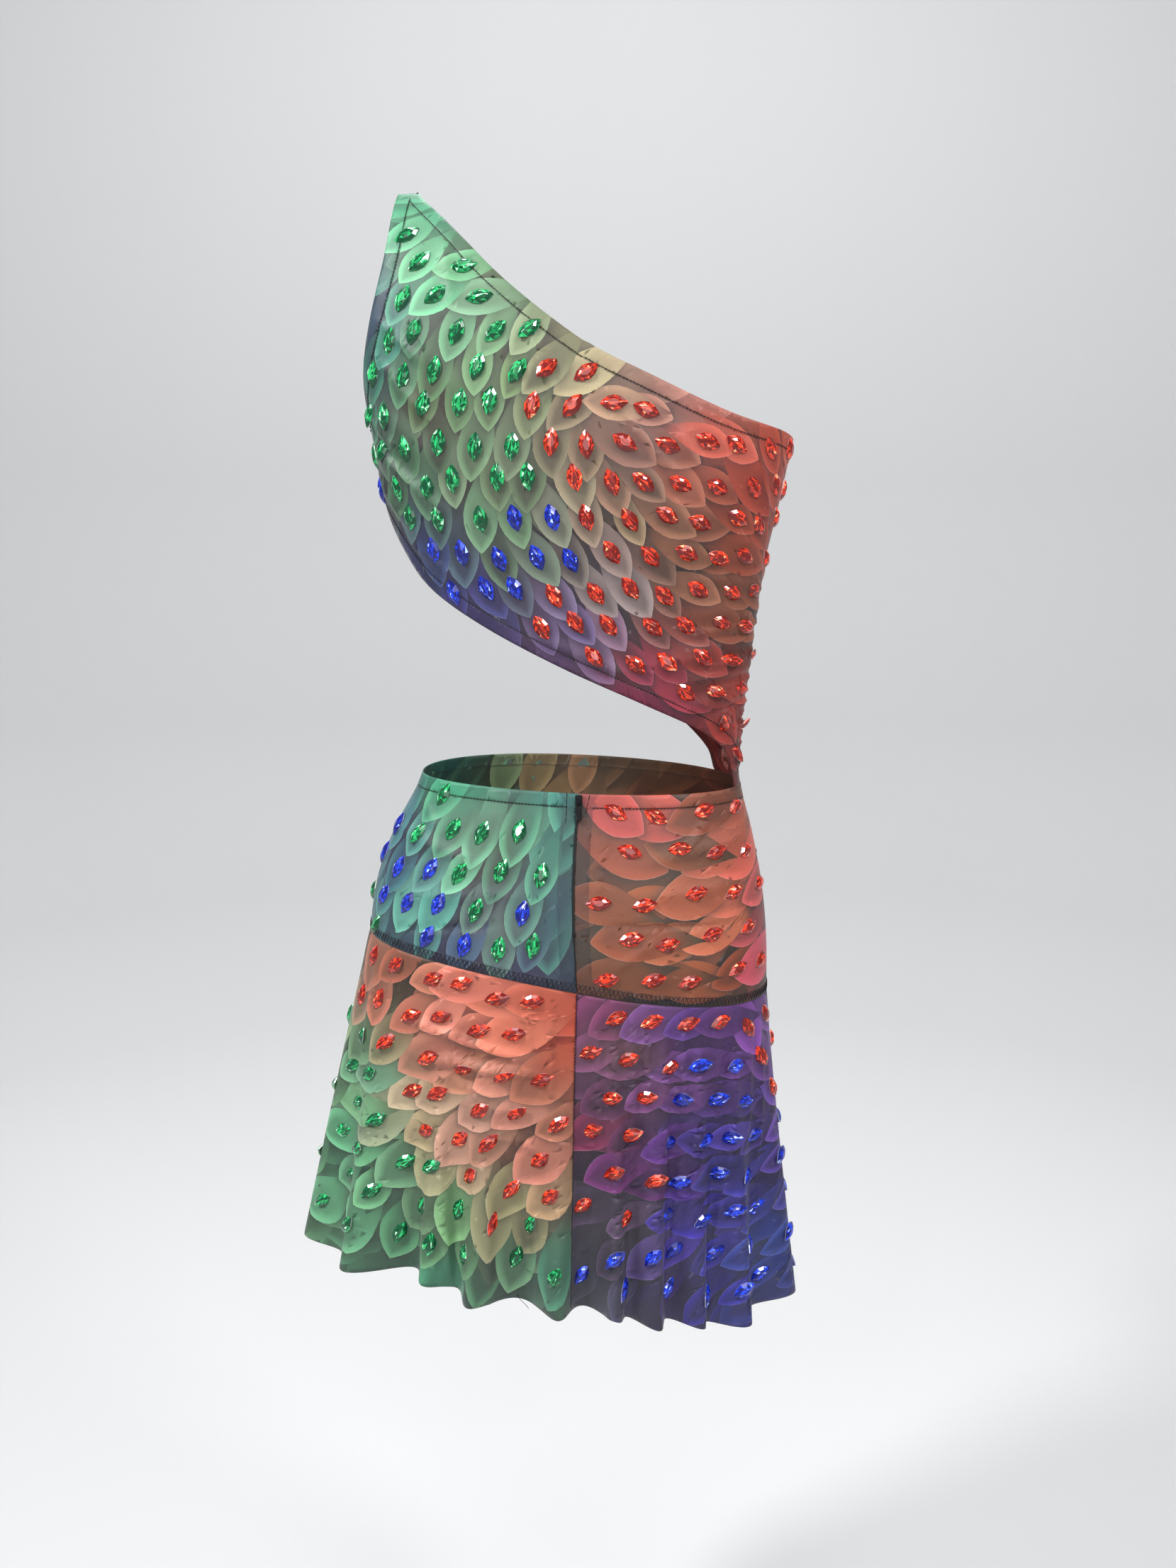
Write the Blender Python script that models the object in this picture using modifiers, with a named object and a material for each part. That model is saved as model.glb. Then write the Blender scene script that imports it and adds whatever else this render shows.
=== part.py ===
"""One-shoulder party dress as worn: a cut-out bodice, a hip yoke with a concealed zip and a flared skirt.

Metres, +Z up. The back faces +Y and the wearer's left is +X. The origin is the inner face of the
strap's top, where the left shoulder holds the dress. A place on a panel is written as two tape
measures: how far round it lies from centre back, and how far down it lies from the shoulder.
"""

import math
import random

import bpy
import numpy as np
from mathutils import Matrix, Vector
from mathutils.geometry import delaunay_2d_cdt

MM = 0.001
WALL = 1.4 * MM
SEAM_GAP = 0.3 * MM
SHOULDER_ACROSS = 0.123
DROP = 0.252
STONE_LONG = 18 * MM
STONE_WIDE = 9 * MM
STONE_RISE = 3.4 * MM
EDGE_PITCH = 12 * MM

# The figure that fills the dress, in mm: one row for each level.
# down the back, height, centre across, centre deep, half width, half depth behind, in front, squareness
LEVELS = (
    (0, 0.7, 0, 0, 185, 0.2, 0.2, 3.6),
    (8, -0.7, 0, 0, 185, 8, 9, 3.6),
    (20, -6, 0, 0, 184, 17, 22, 3.4),
    (40, -19, 0, 0, 182, 30, 40, 3.2),
    (65, -39, 0, 1, 177, 43, 56, 3.0),
    (95, -66, 1, 3, 170, 53, 69, 2.8),
    (130, -99, 2, 5, 161, 62, 80, 2.6),
    (165, -133, 3, 4, 154, 68, 92, 2.5),
    (200, -168, 3.5, 2, 148, 71, 104, 2.4),
    (240, -208, 4, 0, 141, 70, 110, 2.3),
    (280, -248, 2, -4, 131, 66, 98, 2.2),
    (320, -288, 0, -6, 123, 62, 86, 2.2),
    (360, -328, -1, -8, 118, 60, 78, 2.2),
    (400, -368, 1, -9, 115, 59, 74, 2.2),
    (440, -408, 6, -8, 120.5, 58, 76, 2.2),
    (480, -448, 11.5, -6, 136, 68, 80, 2.2),
    (520, -488, 14.5, -3, 147, 78, 86, 2.2),
    (560, -528, 15, 0, 151.5, 84, 90, 2.25),
    (600, -568, 15, 1, 152.5, 86, 92, 2.25),
    (640, -608, 16, 2, 154, 87, 94, 2.25),
)

# Edges of the bodice, in mm: one row for each bend. round from centre back or front, down
BACK_NECK = ((-182, 197), (-150, 193), (-100, 183), (-44, 160), (8, 133), (64, 85), (108, 28), (116, 0))
BACK_ARMHOLE = ((130, 0), (131, 28), (137, 80), (149, 122), (165, 157), (182, 187))
BACK_LOWER = (
    (170, 238), (144, 270), (118, 297), (72, 326), (16, 355),
    (-40, 380), (-88, 402), (-112, 420), (-124, 441),
)
FRONT_NECK = ((-206, 197), (-165, 200), (-110, 196), (-45, 178), (15, 146), (70, 92), (108, 30), (116, 0))
FRONT_ARMHOLE = ((130, 0), (130, 30), (134, 80), (150, 125), (176, 162), (205, 187))
FRONT_LOWER = (
    (200, 238), (170, 258), (120, 285), (60, 316), (0, 350),
    (-50, 384), (-92, 414), (-108, 428), (-116, 444),
)

# Gathered folds of the bodice, in mm: one row for each ridge.
# round at one end, down there, round at the other end, down there, rise, half width
BACK_RIDGES = (
    (-60, 268, -160, 290, 1.6, 7),
    (-70, 318, -150, 312, 2.2, 6),
    (-50, 345, -142, 334, 2.6, 6),
    (-62, 366, -138, 352, 3.0, 5.5),
    (-66, 384, -136, 371, 3.2, 5),
    (-84, 396, -136, 388, 3.0, 4.5),
    (-98, 408, -140, 405, 3.0, 4.5),
    (-108, 421, -142, 421, 2.4, 4),
    (160, 168, 96, 218, 2.2, 8),
    (166, 200, 112, 238, 2.0, 7),
    (120, 120, 84, 172, 1.6, 9),
)
FRONT_RIDGES = (
    (-60, 262, -175, 286, 1.8, 8),
    (-50, 306, -165, 308, 2.2, 6),
    (-40, 338, -160, 330, 2.6, 6),
    (-60, 362, -152, 350, 3.0, 5.5),
    (-74, 384, -148, 370, 3.2, 5),
    (-86, 400, -148, 388, 3.0, 4.5),
    (-98, 414, -150, 405, 3.0, 4.5),
    (-104, 427, -152, 421, 2.4, 4),
    (178, 176, 110, 214, 2.4, 9),
)

# Flutes of the skirt, in mm: one row for each.
# round from centre back at the seam, half width, depth, lean, start as a share of the drop
BACK_FLUTES = (
    (-172, 13, 20, 5, 0.08),
    (-130, 12, 22, 7, 0.10),
    (-97, 11, 20, 7, 0.04),
    (-64, 11, 22, 8, 0.03),
    (-36, 10, 20, 7, 0.06),
    (4, 12, 20, 4, 0.20),
    (55, 14, 24, -8, 0.15),
    (91, 11, 18, -7, 0.20),
    (137, 14, 26, -9, 0.06),
    (176, 11, 18, -5, 0.10),
)
# The same on the front, from centre front.
FRONT_FLUTES = (
    (-172, 13, 19, -5, 0.08),
    (-136, 12, 22, -7, 0.10),
    (-100, 12, 18, -6, 0.12),
    (-66, 12, 22, -7, 0.05),
    (-33, 11, 18, -5, 0.15),
    (0, 12, 21, 6, 0.08),
    (36, 11, 18, 6, 0.15),
    (70, 12, 23, 7, 0.05),
    (104, 12, 18, 6, 0.12),
    (138, 12, 22, 7, 0.08),
    (172, 12, 19, 5, 0.08),
)
FLARE_LEFT, FLARE_RIGHT, FLARE_BACK, FLARE_FRONT = 0.037, 0.020, -0.008, 0.008
SWAY, FALL = 7 * MM, 0.985
FOLD_APART = 2.2 * MM

# Which way the stones' lower tips point, in degrees from straight down towards the wearer's left.
# round, down, heading: one row for each place where the lines of stones turn
BACK_FLOW = (
    (122, 30, 60), (70, 95, 82), (140, 110, 22), (95, 150, 16), (45, 190, 4), (150, 205, 0),
    (100, 260, -4), (20, 160, 50), (-60, 190, -70), (10, 240, -14), (60, 310, -28), (-20, 300, -35),
    (-90, 260, -70), (-60, 345, -50), (-150, 240, -30), (-120, 350, -80), (-120, 420, -30),
)
FRONT_FLOW = (
    (122, 30, 55), (70, 100, 75), (150, 120, 20), (90, 170, 12), (20, 170, 45), (-60, 210, -60),
    (120, 240, 0), (20, 260, -20), (60, 300, -30), (-40, 300, -40), (-110, 260, -70), (-90, 350, -55),
    (-110, 420, -30),
)
YOKE_LEFT_FLOW = ((30, 455, 8), (150, 455, 24), (90, 500, 30), (30, 540, 10), (150, 540, 40))
YOKE_RIGHT_FLOW = (
    (-40, 460, -60), (-120, 460, 70), (-60, 510, 84), (-130, 520, 75), (-60, 560, 82), (-140, 580, 70),
)
YOKE_FRONT_FLOW = ((130, 455, 20), (130, 560, 35), (0, 500, 5), (-130, 470, 75), (-130, 570, 84))
SKIRT_LEFT_FLOW = (
    (30, 30, 70), (100, 40, 60), (170, 40, 15), (30, 120, 45), (120, 130, 60), (170, 150, 70), (60, 220, 20),
)
SKIRT_RIGHT_FLOW = (
    (-20, 40, 60), (-90, 50, 70), (-170, 40, -30), (-30, 140, 50), (-100, 140, 80), (-170, 170, 60),
    (-60, 220, 25),
)
SKIRT_FRONT_FLOW = (
    (150, 40, 20), (60, 40, 60), (-60, 60, 70), (-150, 60, 40), (100, 200, 50), (-100, 200, 60),
)

# Stones on a panel, in mm: pitch round, pitch down, unevenness, seed
STONES = {
    "bodice_back": (25.5, 24, 3.6, 3),
    "bodice_front": (30, 28, 3.6, 5),
    "yoke_back_left": (28, 25, 4.0, 7),
    "yoke_back_right": (34, 29, 4.0, 11),
    "yoke_front": (33, 28, 4.0, 13),
    "skirt_back_left": (27, 29, 4.2, 17),
    "skirt_back_right": (27, 30, 4.2, 19),
    "skirt_front": (34, 35, 4.2, 23),
}
STONE_TO_EDGE, POINT_TO_EDGE, RING_CLEAR = 7 * MM, 3.2 * MM, 1.5 * MM

# Zip, in metres.
ZIP_LENGTH = 0.098
ZIP_TAPE_WIDTH = 0.024
ZIP_TAPE_THICK = 0.8 * MM
SLIDER_WIDTH, SLIDER_LENGTH, SLIDER_THICK = 5 * MM, 8 * MM, 1.8 * MM
BAIL_WIDTH, BAIL_BAR, WINDOW_TALL, WINDOW_DEEP = 1.2 * MM, 0.9 * MM, 2.6 * MM, 1.9 * MM
TAB_LENGTH, TAB_WIDTH, TAB_THICK, TAB_BAR = 15 * MM, 5 * MM, 0.9 * MM, 0.9 * MM


def clear_scene():
    for thing in list(bpy.data.objects):
        bpy.data.objects.remove(thing, do_unlink=True)


def collection(name):
    made = bpy.data.collections.new(name)
    bpy.context.scene.collection.children.link(made)
    return made


def material(name, colour, roughness, metallic=0.0):
    made = bpy.data.materials.new(name)
    made.use_nodes = True
    shader = made.node_tree.nodes["Principled BSDF"]
    shader.inputs["Base Color"].default_value = (*colour, 1)
    shader.inputs["Roughness"].default_value = roughness
    shader.inputs["Metallic"].default_value = metallic
    return made


# Form of the figure

ROWS = np.array(LEVELS, float)
ROWS[:, :7] *= MM
TURN = np.linspace(0, math.pi, 181)


def level(down):
    """The seven values of the levels table at each tape measure down, on a smooth curve through its rows."""
    knots, values = ROWS[:, 0], ROWS[:, 1:]
    down = np.clip(down, knots[0], knots[-1])
    i = np.clip(np.searchsorted(knots, down, side="right") - 1, 0, len(knots) - 2)
    step = np.diff(knots)
    slope = np.diff(values, axis=0) / step[:, None]
    share = (step[:-1] / (step[:-1] + step[1:]))[:, None]
    bend = np.concatenate([slope[:1], slope[:-1] * (1 - share) + slope[1:] * share, slope[-1:]])
    t, h = ((down - knots[i]) / step[i])[:, None], step[i][:, None]
    rise = (3 - 2 * t) * t * t
    return (
        (1 - rise) * values[i]
        + rise * values[i + 1]
        + t * (1 - t) * h * ((1 - t) * bend[i] - t * bend[i + 1])
    )


def oval(turn, half_width, behind, before, square):
    """Point of a level's outline at an angle from centre back."""
    sine, cosine = np.sin(turn), np.cos(turn)
    deep = np.where(cosine >= 0, behind, before)
    return (
        half_width * np.abs(sine) ** (2 / square),
        deep * np.abs(cosine) ** (2 / square) * np.sign(cosine),
    )


def tapes(rows):
    """Tape measures round from centre back to each angle of TURN, one row for each level."""
    across, deep = oval(TURN[None, :], *[rows[:, k : k + 1] for k in (3, 4, 5, 6)])
    steps = np.hypot(np.diff(across, axis=1), np.diff(deep, axis=1))
    return np.concatenate([np.zeros((len(rows), 1)), np.cumsum(steps, axis=1)], axis=1)


def quarter(down):
    """Tape from centre back to the side."""
    return float(tapes(level(np.array([down])))[0, len(TURN) // 2])


def half(down):
    """Tape from centre back to centre front."""
    return float(tapes(level(np.array([down])))[0, -1])


def figure(around, down, from_front=False):
    """Points on the figure at tape measures around and down."""
    around, down = np.broadcast_arrays(np.asarray(around, float), np.asarray(down, float))
    rows = level(down.ravel())
    tape = tapes(rows)
    whole = tape[:, -1]
    from_back = (whole - around.ravel()) if from_front else around.ravel()
    from_back = np.where(from_back > whole, from_back - 2 * whole, from_back)
    side = np.where(from_back < 0, -1.0, 1.0)
    reach = np.clip(np.abs(from_back), 0, whole)
    i = np.clip((tape <= reach[:, None]).sum(axis=1) - 1, 0, len(TURN) - 2)
    k = np.arange(len(rows))
    part = (reach - tape[k, i]) / np.maximum(tape[k, i + 1] - tape[k, i], 1e-9)
    turn = TURN[i] + part * (TURN[1] - TURN[0])
    across, deep = oval(turn, rows[:, 3], rows[:, 4], rows[:, 5], rows[:, 6])
    points = np.stack([rows[:, 1] + side * across - SHOULDER_ACROSS, rows[:, 2] + deep, rows[:, 0]], axis=1)
    return points.reshape(around.shape + (3,))


# Levels of the two seams round the hips, which lean with the figure

WAIST_DOWN, WAIST_DIP, WAIST_LEAN = 0.4395, 0.0035, 0.0045
HIP_DOWN, HIP_LEAN = 0.578, 0.024
CENTRE_SWING = 7 * MM


def swing(around, down, from_front):
    """Angle round the figure, from centre back, that a tape measure stands for."""
    angle = math.pi * np.asarray(around) / half(down)
    return math.pi - angle if from_front else angle


def waist_down(around, from_front=False):
    angle = swing(around, WAIST_DOWN, from_front)
    return WAIST_DOWN + WAIST_DIP * np.cos(angle) - WAIST_LEAN * np.sin(angle)


def centre_back(down):
    """The centre-back seam, which swings a little towards the right hip."""
    return -CENTRE_SWING * np.clip((down - WAIST_DOWN) / (HIP_DOWN - WAIST_DOWN), 0, 1)


def hip_down(around, from_front=False):
    return HIP_DOWN - HIP_LEAN * np.sin(swing(around, HIP_DOWN, from_front))


# Cloth surfaces: each takes tape measures and gives points of the wall's middle

def ridges(around, down, rows):
    """Rise of the gathered folds: each is a soft ridge along a line that fades at both ends."""
    total = np.zeros(np.shape(around))
    for u0, v0, u1, v1, rise, half_width in rows:
        start, run = np.array((u0, v0)) * MM, np.array((u1 - u0, v1 - v0)) * MM
        length = math.hypot(*run)
        along = ((around - start[0]) * run[0] + (down - start[1]) * run[1]) / length**2
        off = ((around - start[0]) * run[1] - (down - start[1]) * run[0]) / length
        fade = np.clip(along / 0.3, 0, 1) * np.clip((1.08 - along) / 0.2, 0, 1)
        total = total + rise * MM * fade * np.exp(-((off / (half_width * MM)) ** 2))
    return total


def outward(place, around, down, from_front, flat=False):
    """Unit normals of the surface that place describes; flat ones lie level."""
    step = 1.0 * MM
    along = place(around + step, down, from_front) - place(around - step, down, from_front)
    if flat:
        fall = np.broadcast_to(np.array((0.0, 0.0, -1.0)), along.shape)
    else:
        fall = place(around, down + step, from_front) - place(around, np.maximum(down - step, 0), from_front)
    normal = np.cross(along, fall) * (-1.0 if from_front else 1.0)
    return normal / np.linalg.norm(normal, axis=-1, keepdims=True)


def bodice_surface(around, down, from_front):
    rows = FRONT_RIDGES if from_front else BACK_RIDGES
    settle = np.clip((WAIST_DOWN - 1.5 * MM - down) / (12 * MM), 0, 1)
    rise = ridges(around, down, rows) * settle
    return figure(around, down, from_front) + rise[..., None] * outward(figure, around, down, from_front)


def yoke_surface(around, down, from_front):
    return figure(around, down, from_front)


def skirt_surface(around, drop, from_front):
    """The flounce: it hangs from the hip seam, flares and stands out in leaning flutes."""
    around, drop = np.broadcast_arrays(np.asarray(around, float), np.asarray(drop, float))
    seam = hip_down(around, from_front)
    top = figure(around, seam, from_front)
    out = outward(figure, around, seam, from_front, flat=True)
    side = np.stack([-out[..., 1], out[..., 0], np.zeros(around.shape)], axis=-1)
    share = drop / DROP
    flare = (
        np.where(out[..., 0] > 0, FLARE_LEFT, FLARE_RIGHT) * out[..., 0] ** 2
        + np.where(out[..., 1] > 0, FLARE_BACK, FLARE_FRONT) * out[..., 1] ** 2
    ) * share**0.8
    lean = np.zeros(around.shape)
    for centre, half_width, depth, slant, start in FRONT_FLUTES if from_front else BACK_FLUTES:
        bump = np.exp(-(((around - centre * MM) / (half_width * MM)) ** 2))
        grown = np.clip((share - start) / (1 - start), 0, 1) ** 1.15
        flare = flare + depth * MM * bump * grown
        lean = lean + slant * MM * bump * grown
    fall = np.zeros(around.shape + (3,))
    fall[..., 0], fall[..., 2] = SWAY * share, -drop * FALL
    return top + out * flare[..., None] + side * lean[..., None] + fall


# Outlines of the panels

def through(rows, pitch=EDGE_PITCH):
    """Evenly spaced points on a smooth curve through the rows of an edge."""
    knots = np.array(rows, float) * MM
    before, after = 2 * knots[0] - knots[1], 2 * knots[-1] - knots[-2]
    path = np.vstack([before, knots, after])
    fine = []
    for a, b, c, d in zip(path, path[1:], path[2:], path[3:]):
        for t in np.arange(0, 1, 0.05):
            bend = (2 * a - 5 * b + 4 * c - d) * t**2 + (3 * b - 3 * c + d - a) * t**3
            fine.append(b + 0.5 * ((c - a) * t + bend))
    return evenly(np.array(fine + [knots[-1]]), pitch)


def evenly(path, pitch):
    run = np.concatenate([[0], np.cumsum(np.hypot(*np.diff(path, axis=0).T))])
    count = max(2, round(run[-1] / pitch) + 1)
    marks = np.linspace(0, run[-1], count)
    return np.stack([np.interp(marks, run, path[:, k]) for k in (0, 1)], axis=1)


def seam_line(start, end, place, pitch=EDGE_PITCH):
    """Points of a seam from one tape measure to another; place turns each into a point of the panel."""
    count = max(2, round(abs(end - start) / pitch) + 1)
    return np.array([place(mark) for mark in np.linspace(start, end, count)])


def meet(side, edge):
    """The corner where a seam, given by the tape down, meets an edge, given by the tape round."""
    down = WAIST_DOWN
    for _ in range(8):
        down = edge(side(down))
    return side(down), down


def closed_outline(*edges):
    """One loop from edges laid end to end, with no corner twice."""
    loop = [edges[0][0]]
    for edge in edges:
        for point in edge:
            if math.dist(point, loop[-1]) > 0.8 * MM and math.dist(point, loop[0]) > 0.8 * MM:
                loop.append(point)
    loop = np.array(loop)
    area = np.sum(loop[:, 0] * np.roll(loop[:, 1], -1) - loop[:, 1] * np.roll(loop[:, 0], -1))
    return loop if area > 0 else loop[::-1]


def side_of(down, from_front):
    return half(down) - quarter(down) if from_front else quarter(down)


def bodice_outline(neck, armhole, lower, from_front):
    inset = SEAM_GAP / 2
    left_side = lambda v: side_of(v, from_front) - inset
    right_side = lambda v: -side_of(v, from_front) + inset
    waist = lambda u: waist_down(u, from_front) - inset
    left = seam_line(armhole[-1][1] * MM, lower[0][1] * MM, lambda v: (left_side(v), v))
    corner = meet(right_side, waist)
    base = seam_line(lower[-1][0] * MM, corner[0], lambda u: (u, waist(u)))
    right = seam_line(corner[1], neck[0][1] * MM, lambda v: (right_side(v), v))
    hem = through(lower)
    hem[0], hem[-1] = left[-1], base[0]
    top, arm = through(neck), through(armhole)
    top[0], arm[-1] = right[-1], left[0]
    return closed_outline(arm, left, hem, base, right, top)


def yoke_outline(left, right, from_front):
    """A hip-band panel between two seams, each given as a function of the tape down."""
    inset = SEAM_GAP / 2
    waist = lambda u: waist_down(u, from_front) + inset
    hip = lambda u: hip_down(u, from_front) - inset
    top = seam_line(meet(right, waist)[0], meet(left, waist)[0], lambda u: (u, waist(u)))
    foot = seam_line(meet(left, hip)[0], meet(right, hip)[0], lambda u: (u, hip(u)))
    down_left = seam_line(top[-1][1], foot[0][1], lambda v: (left(v), v))
    up_right = seam_line(foot[-1][1], top[0][1], lambda v: (right(v), v))
    return closed_outline(top, down_left, foot, up_right)


def hem_drop(around):
    """Length of the flounce at the hem, which runs a little uneven."""
    return DROP + 2.5 * MM * math.sin(around * 41) + 1.5 * MM * math.sin(around * 97 + 1)


def skirt_outline(left, right, rows):
    """A flounce panel; its hem and seam carry the same columns as the flutes."""
    inset = SEAM_GAP / 2
    columns = flute_columns(left, right, rows)
    top = np.array([(u, inset) for u in columns])
    foot = np.array([(u, hem_drop(u)) for u in reversed(columns)])
    down_left = seam_line(inset, hem_drop(left), lambda v: (left, v), 30 * MM)
    up_right = seam_line(hem_drop(right), inset, lambda v: (right, v), 30 * MM)
    return closed_outline(top, down_left, foot, up_right)


def flute_columns(left, right, rows):
    """Tape measures round where the flounce is folded: at each flute's crest, flanks and feet."""
    marks = {left, right}
    for centre, half_width, *_ in rows:
        for step in (-1.6, -1.0, -0.5, 0.0, 0.5, 1.0, 1.6):
            mark = (centre + step * half_width) * MM
            if right + FOLD_APART < mark < left - FOLD_APART:
                marks.add(mark)
    kept = []
    for mark in sorted(marks):
        if not kept or mark - kept[-1] >= FOLD_APART or mark == left:
            kept.append(mark)
    return kept


# Stones

def heading(around, down, flow):
    """Direction of the stones' tips at a place, blended from the rows of a flow table."""
    sine = cosine = 0.0
    for u, v, degrees in flow:
        weight = 1 / (((around / MM - u) ** 2 + (down / MM - v) ** 2) + 200) ** 1.5
        sine += weight * math.sin(2 * math.radians(degrees))
        cosine += weight * math.cos(2 * math.radians(degrees))
    return math.atan2(sine, cosine) / 2


def to_outline(point, loop):
    """Distance from a point to the nearest edge of a loop, negative outside it."""
    ends = np.roll(loop, -1, axis=0)
    run = ends - loop
    share = np.clip(((point - loop) * run).sum(axis=1) / np.maximum((run**2).sum(axis=1), 1e-12), 0, 1)
    gap = np.hypot(*(point - loop - run * share[:, None]).T).min()
    crosses = (loop[:, 1] > point[1]) != (ends[:, 1] > point[1])
    at = loop[:, 0] + (point[1] - loop[:, 1]) / np.where(run[:, 1] == 0, 1, run[:, 1]) * run[:, 0]
    return gap if (crosses & (at > point[0])).sum() % 2 else -gap


def lay_stones(name, surface, loop, flow, from_front, avoid=None):
    """A panel's stones, as places, rings and ridges: staggered uneven courses, clear of all edges."""
    pitch_round, pitch_down, unevenness, seed = STONES[name]
    draw = random.Random(seed)
    low, high = loop.min(axis=0), loop.max(axis=0)
    placed = []
    for course in range(int((high[1] - low[1]) / (pitch_down * MM)) + 1):
        shift = (course % 2) * pitch_round / 2
        for k in range(int((high[0] - low[0]) / (pitch_round * MM)) + 2):
            u = low[0] + (k * pitch_round + shift + draw.uniform(-1, 1) * unevenness) * MM
            v = low[1] + ((course + 0.5) * pitch_down + draw.uniform(-1, 1) * unevenness) * MM
            if to_outline(np.array((u, v)), loop) < STONE_TO_EDGE or (avoid and avoid(u, v)):
                continue
            ring, crown = stone_shape(u, v, heading(u, v, flow), stretch(surface, u, v, from_front))
            near = [other for other in placed if math.dist((u, v), other[0]) < 2 * STONE_LONG]
            if clear_of(ring, loop, near):
                placed.append(((u, v), ring, crown))
    return placed


def clear_of(ring, loop, near):
    """Whether a stone's ring stays inside the panel and outside the rings near it."""
    if min(to_outline(np.array(p), loop) for p in ring) < RING_CLEAR:
        return False
    for _, other, _ in near:
        gaps = [to_outline(np.array(p), np.array(other)) for p in ring]
        gaps += [to_outline(np.array(p), np.array(ring)) for p in other]
        if max(gaps) > -RING_CLEAR:
            return False
    return True


def stretch(place, u, v, from_front):
    """Columns of real lengths for one unit round and one unit down."""
    step = 1.0 * MM
    one, at = np.array([u]), np.array([v])
    along = place(one + step, at, from_front) - place(one - step, at, from_front)
    fall = place(one, at + step, from_front) - place(one, np.maximum(at - step, 0), from_front)
    lengths = np.linalg.norm(along) / (2 * step), np.linalg.norm(fall) / (step + min(step, v))
    return max(lengths[0], 0.85), max(lengths[1], 0.85)


# Walls

def grid(loop, pitch_round, pitch_down, columns=None):
    """Points inside a loop in staggered rows, or in rows on given columns."""
    low, high = loop.min(axis=0), loop.max(axis=0)
    rows = max(2, round((high[1] - low[1]) / pitch_down))
    found = []
    for r in range(1, rows):
        v = low[1] + (high[1] - low[1]) * r / rows
        across = columns
        if columns is None:
            shift = 0.25 + 0.5 * (r % 2)
            count = round((high[0] - low[0]) / pitch_round)
            across = [low[0] + (k + shift) * (high[0] - low[0]) / count for k in range(count)]
        found += [(u, v) for u in across]
    return found


def skin(loop, inner_points, stones, scale):
    """Triangles over a loop: its vertices, faces and the rise of each vertex, 0 to 1."""
    points = [tuple(p) for p in loop]
    edges = [(k, (k + 1) % len(points)) for k in range(len(points))]
    rise = [0.0] * len(points)
    for ring, crown in stones:
        first = len(points)
        points += ring
        rise += [0.0] * len(ring)
        edges += [(first + k, first + (k + 1) % len(ring)) for k in range(len(ring))]
        top = len(points)
        points += crown
        rise += [1.0] * len(crown)
        edges += [(top + k, top + k + 1) for k in range(len(crown) - 1)]
    points += inner_points
    rise += [0.0] * len(inner_points)
    flat = [Vector((u * scale[0], v * scale[1])) for u, v in points]
    verts, _, faces, origin, _, _ = delaunay_2d_cdt(flat, edges, [], 1, 1e-7)
    source = [group[0] if group else None for group in origin]
    places = [(v.x / scale[0], v.y / scale[1]) for v in verts]
    heights = [rise[s] if s is not None else 0.0 for s in source]
    rim = {s: k for k, s in enumerate(source) if s is not None and s < len(loop)}
    return places, [tuple(f) for f in faces], heights, [rim[k] for k in range(len(loop))]


def stone_shape(u, v, lean, reach):
    """Outline and ridge of one marquise stone in tape measures, sized by the cloth's stretch there."""
    along, fall = reach
    axis = np.array((math.sin(lean), math.cos(lean)))
    cross = np.array((axis[1], -axis[0]))
    place = lambda a, b: (u + (a * axis[0] + b * cross[0]) / along, v + (a * axis[1] + b * cross[1]) / fall)
    long, wide = STONE_LONG / 2, STONE_WIDE / 2
    ring = [(long, 0), (0.45 * long, 0.78 * wide), (-0.45 * long, 0.78 * wide), (-long, 0)]
    ring += [(-0.45 * long, -0.78 * wide), (0.45 * long, -0.78 * wide)]
    return [place(a, b) for a, b in ring], [place(0.4 * long, 0), place(-0.4 * long, 0)]


def wall(name, surface, loop, flow, finish, home, from_front=False, flat=False, **layout):
    """One panel: an outer skin with its stones raised, a plain inner skin and the cut edge between them."""
    pitch, columns, scale = layout["pitch"], layout.get("columns"), layout.get("scale", (1.0, 1.0))
    stones = lay_stones(name, surface, loop, flow, from_front, layout.get("avoid"))
    shapes = [(ring, crown) for _, ring, crown in stones]
    points = grid(loop, *pitch, columns) + layout.get("more", [])
    inside = [p for p in points if to_outline(np.array(p), loop) > POINT_TO_EDGE]
    covered = lambda p: any(math.dist(p, middle) < 0.62 * STONE_LONG for middle, _, _ in stones)
    outside = [p for p in inside if not covered(p)]
    vertices, faces, rims = [], [], []
    for points, marks, side in ((outside, shapes, 1), (inside, [], -1)):
        places, triangles, heights, rim = skin(loop, points, marks, scale)
        u, v = np.array(places).T
        normal = outward(surface, u, v, from_front, flat)
        off = side * WALL / 2 + np.array(heights) * STONE_RISE
        first = len(vertices)
        vertices += [tuple(p) for p in surface(u, v, from_front) + normal * off[:, None]]
        turned = (side < 0) != from_front
        faces += [tuple(first + k for k in (f[::-1] if turned else f)) for f in triangles]
        rims.append([first + k for k in rim])
    outer, inner = rims
    for k in range(len(loop)):
        j = (k + 1) % len(loop)
        quad = (outer[j], outer[k], inner[k], inner[j])
        faces.append(quad[::-1] if from_front else quad)
    mesh = bpy.data.meshes.new(name)
    mesh.from_pydata(vertices, [], faces)
    mesh.materials.append(finish)
    panel = bpy.data.objects.new(name, mesh)
    home.objects.link(panel)
    return panel


def ridge_points(rows):
    """Points along the gathered folds and in the troughs beside them, so that the mesh follows them."""
    found = []
    for u0, v0, u1, v1, _, half_width in rows:
        start, run = np.array((u0, v0)) * MM, np.array((u1 - u0, v1 - v0)) * MM
        length = math.hypot(*run)
        across = np.array((run[1], -run[0])) / length
        steps = round(length / (13 * MM))
        for k in range(steps + 1):
            middle = start + run * k / steps
            found += [tuple(middle), tuple(middle + across * half_width * 1.5 * MM)]
    return found


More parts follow.
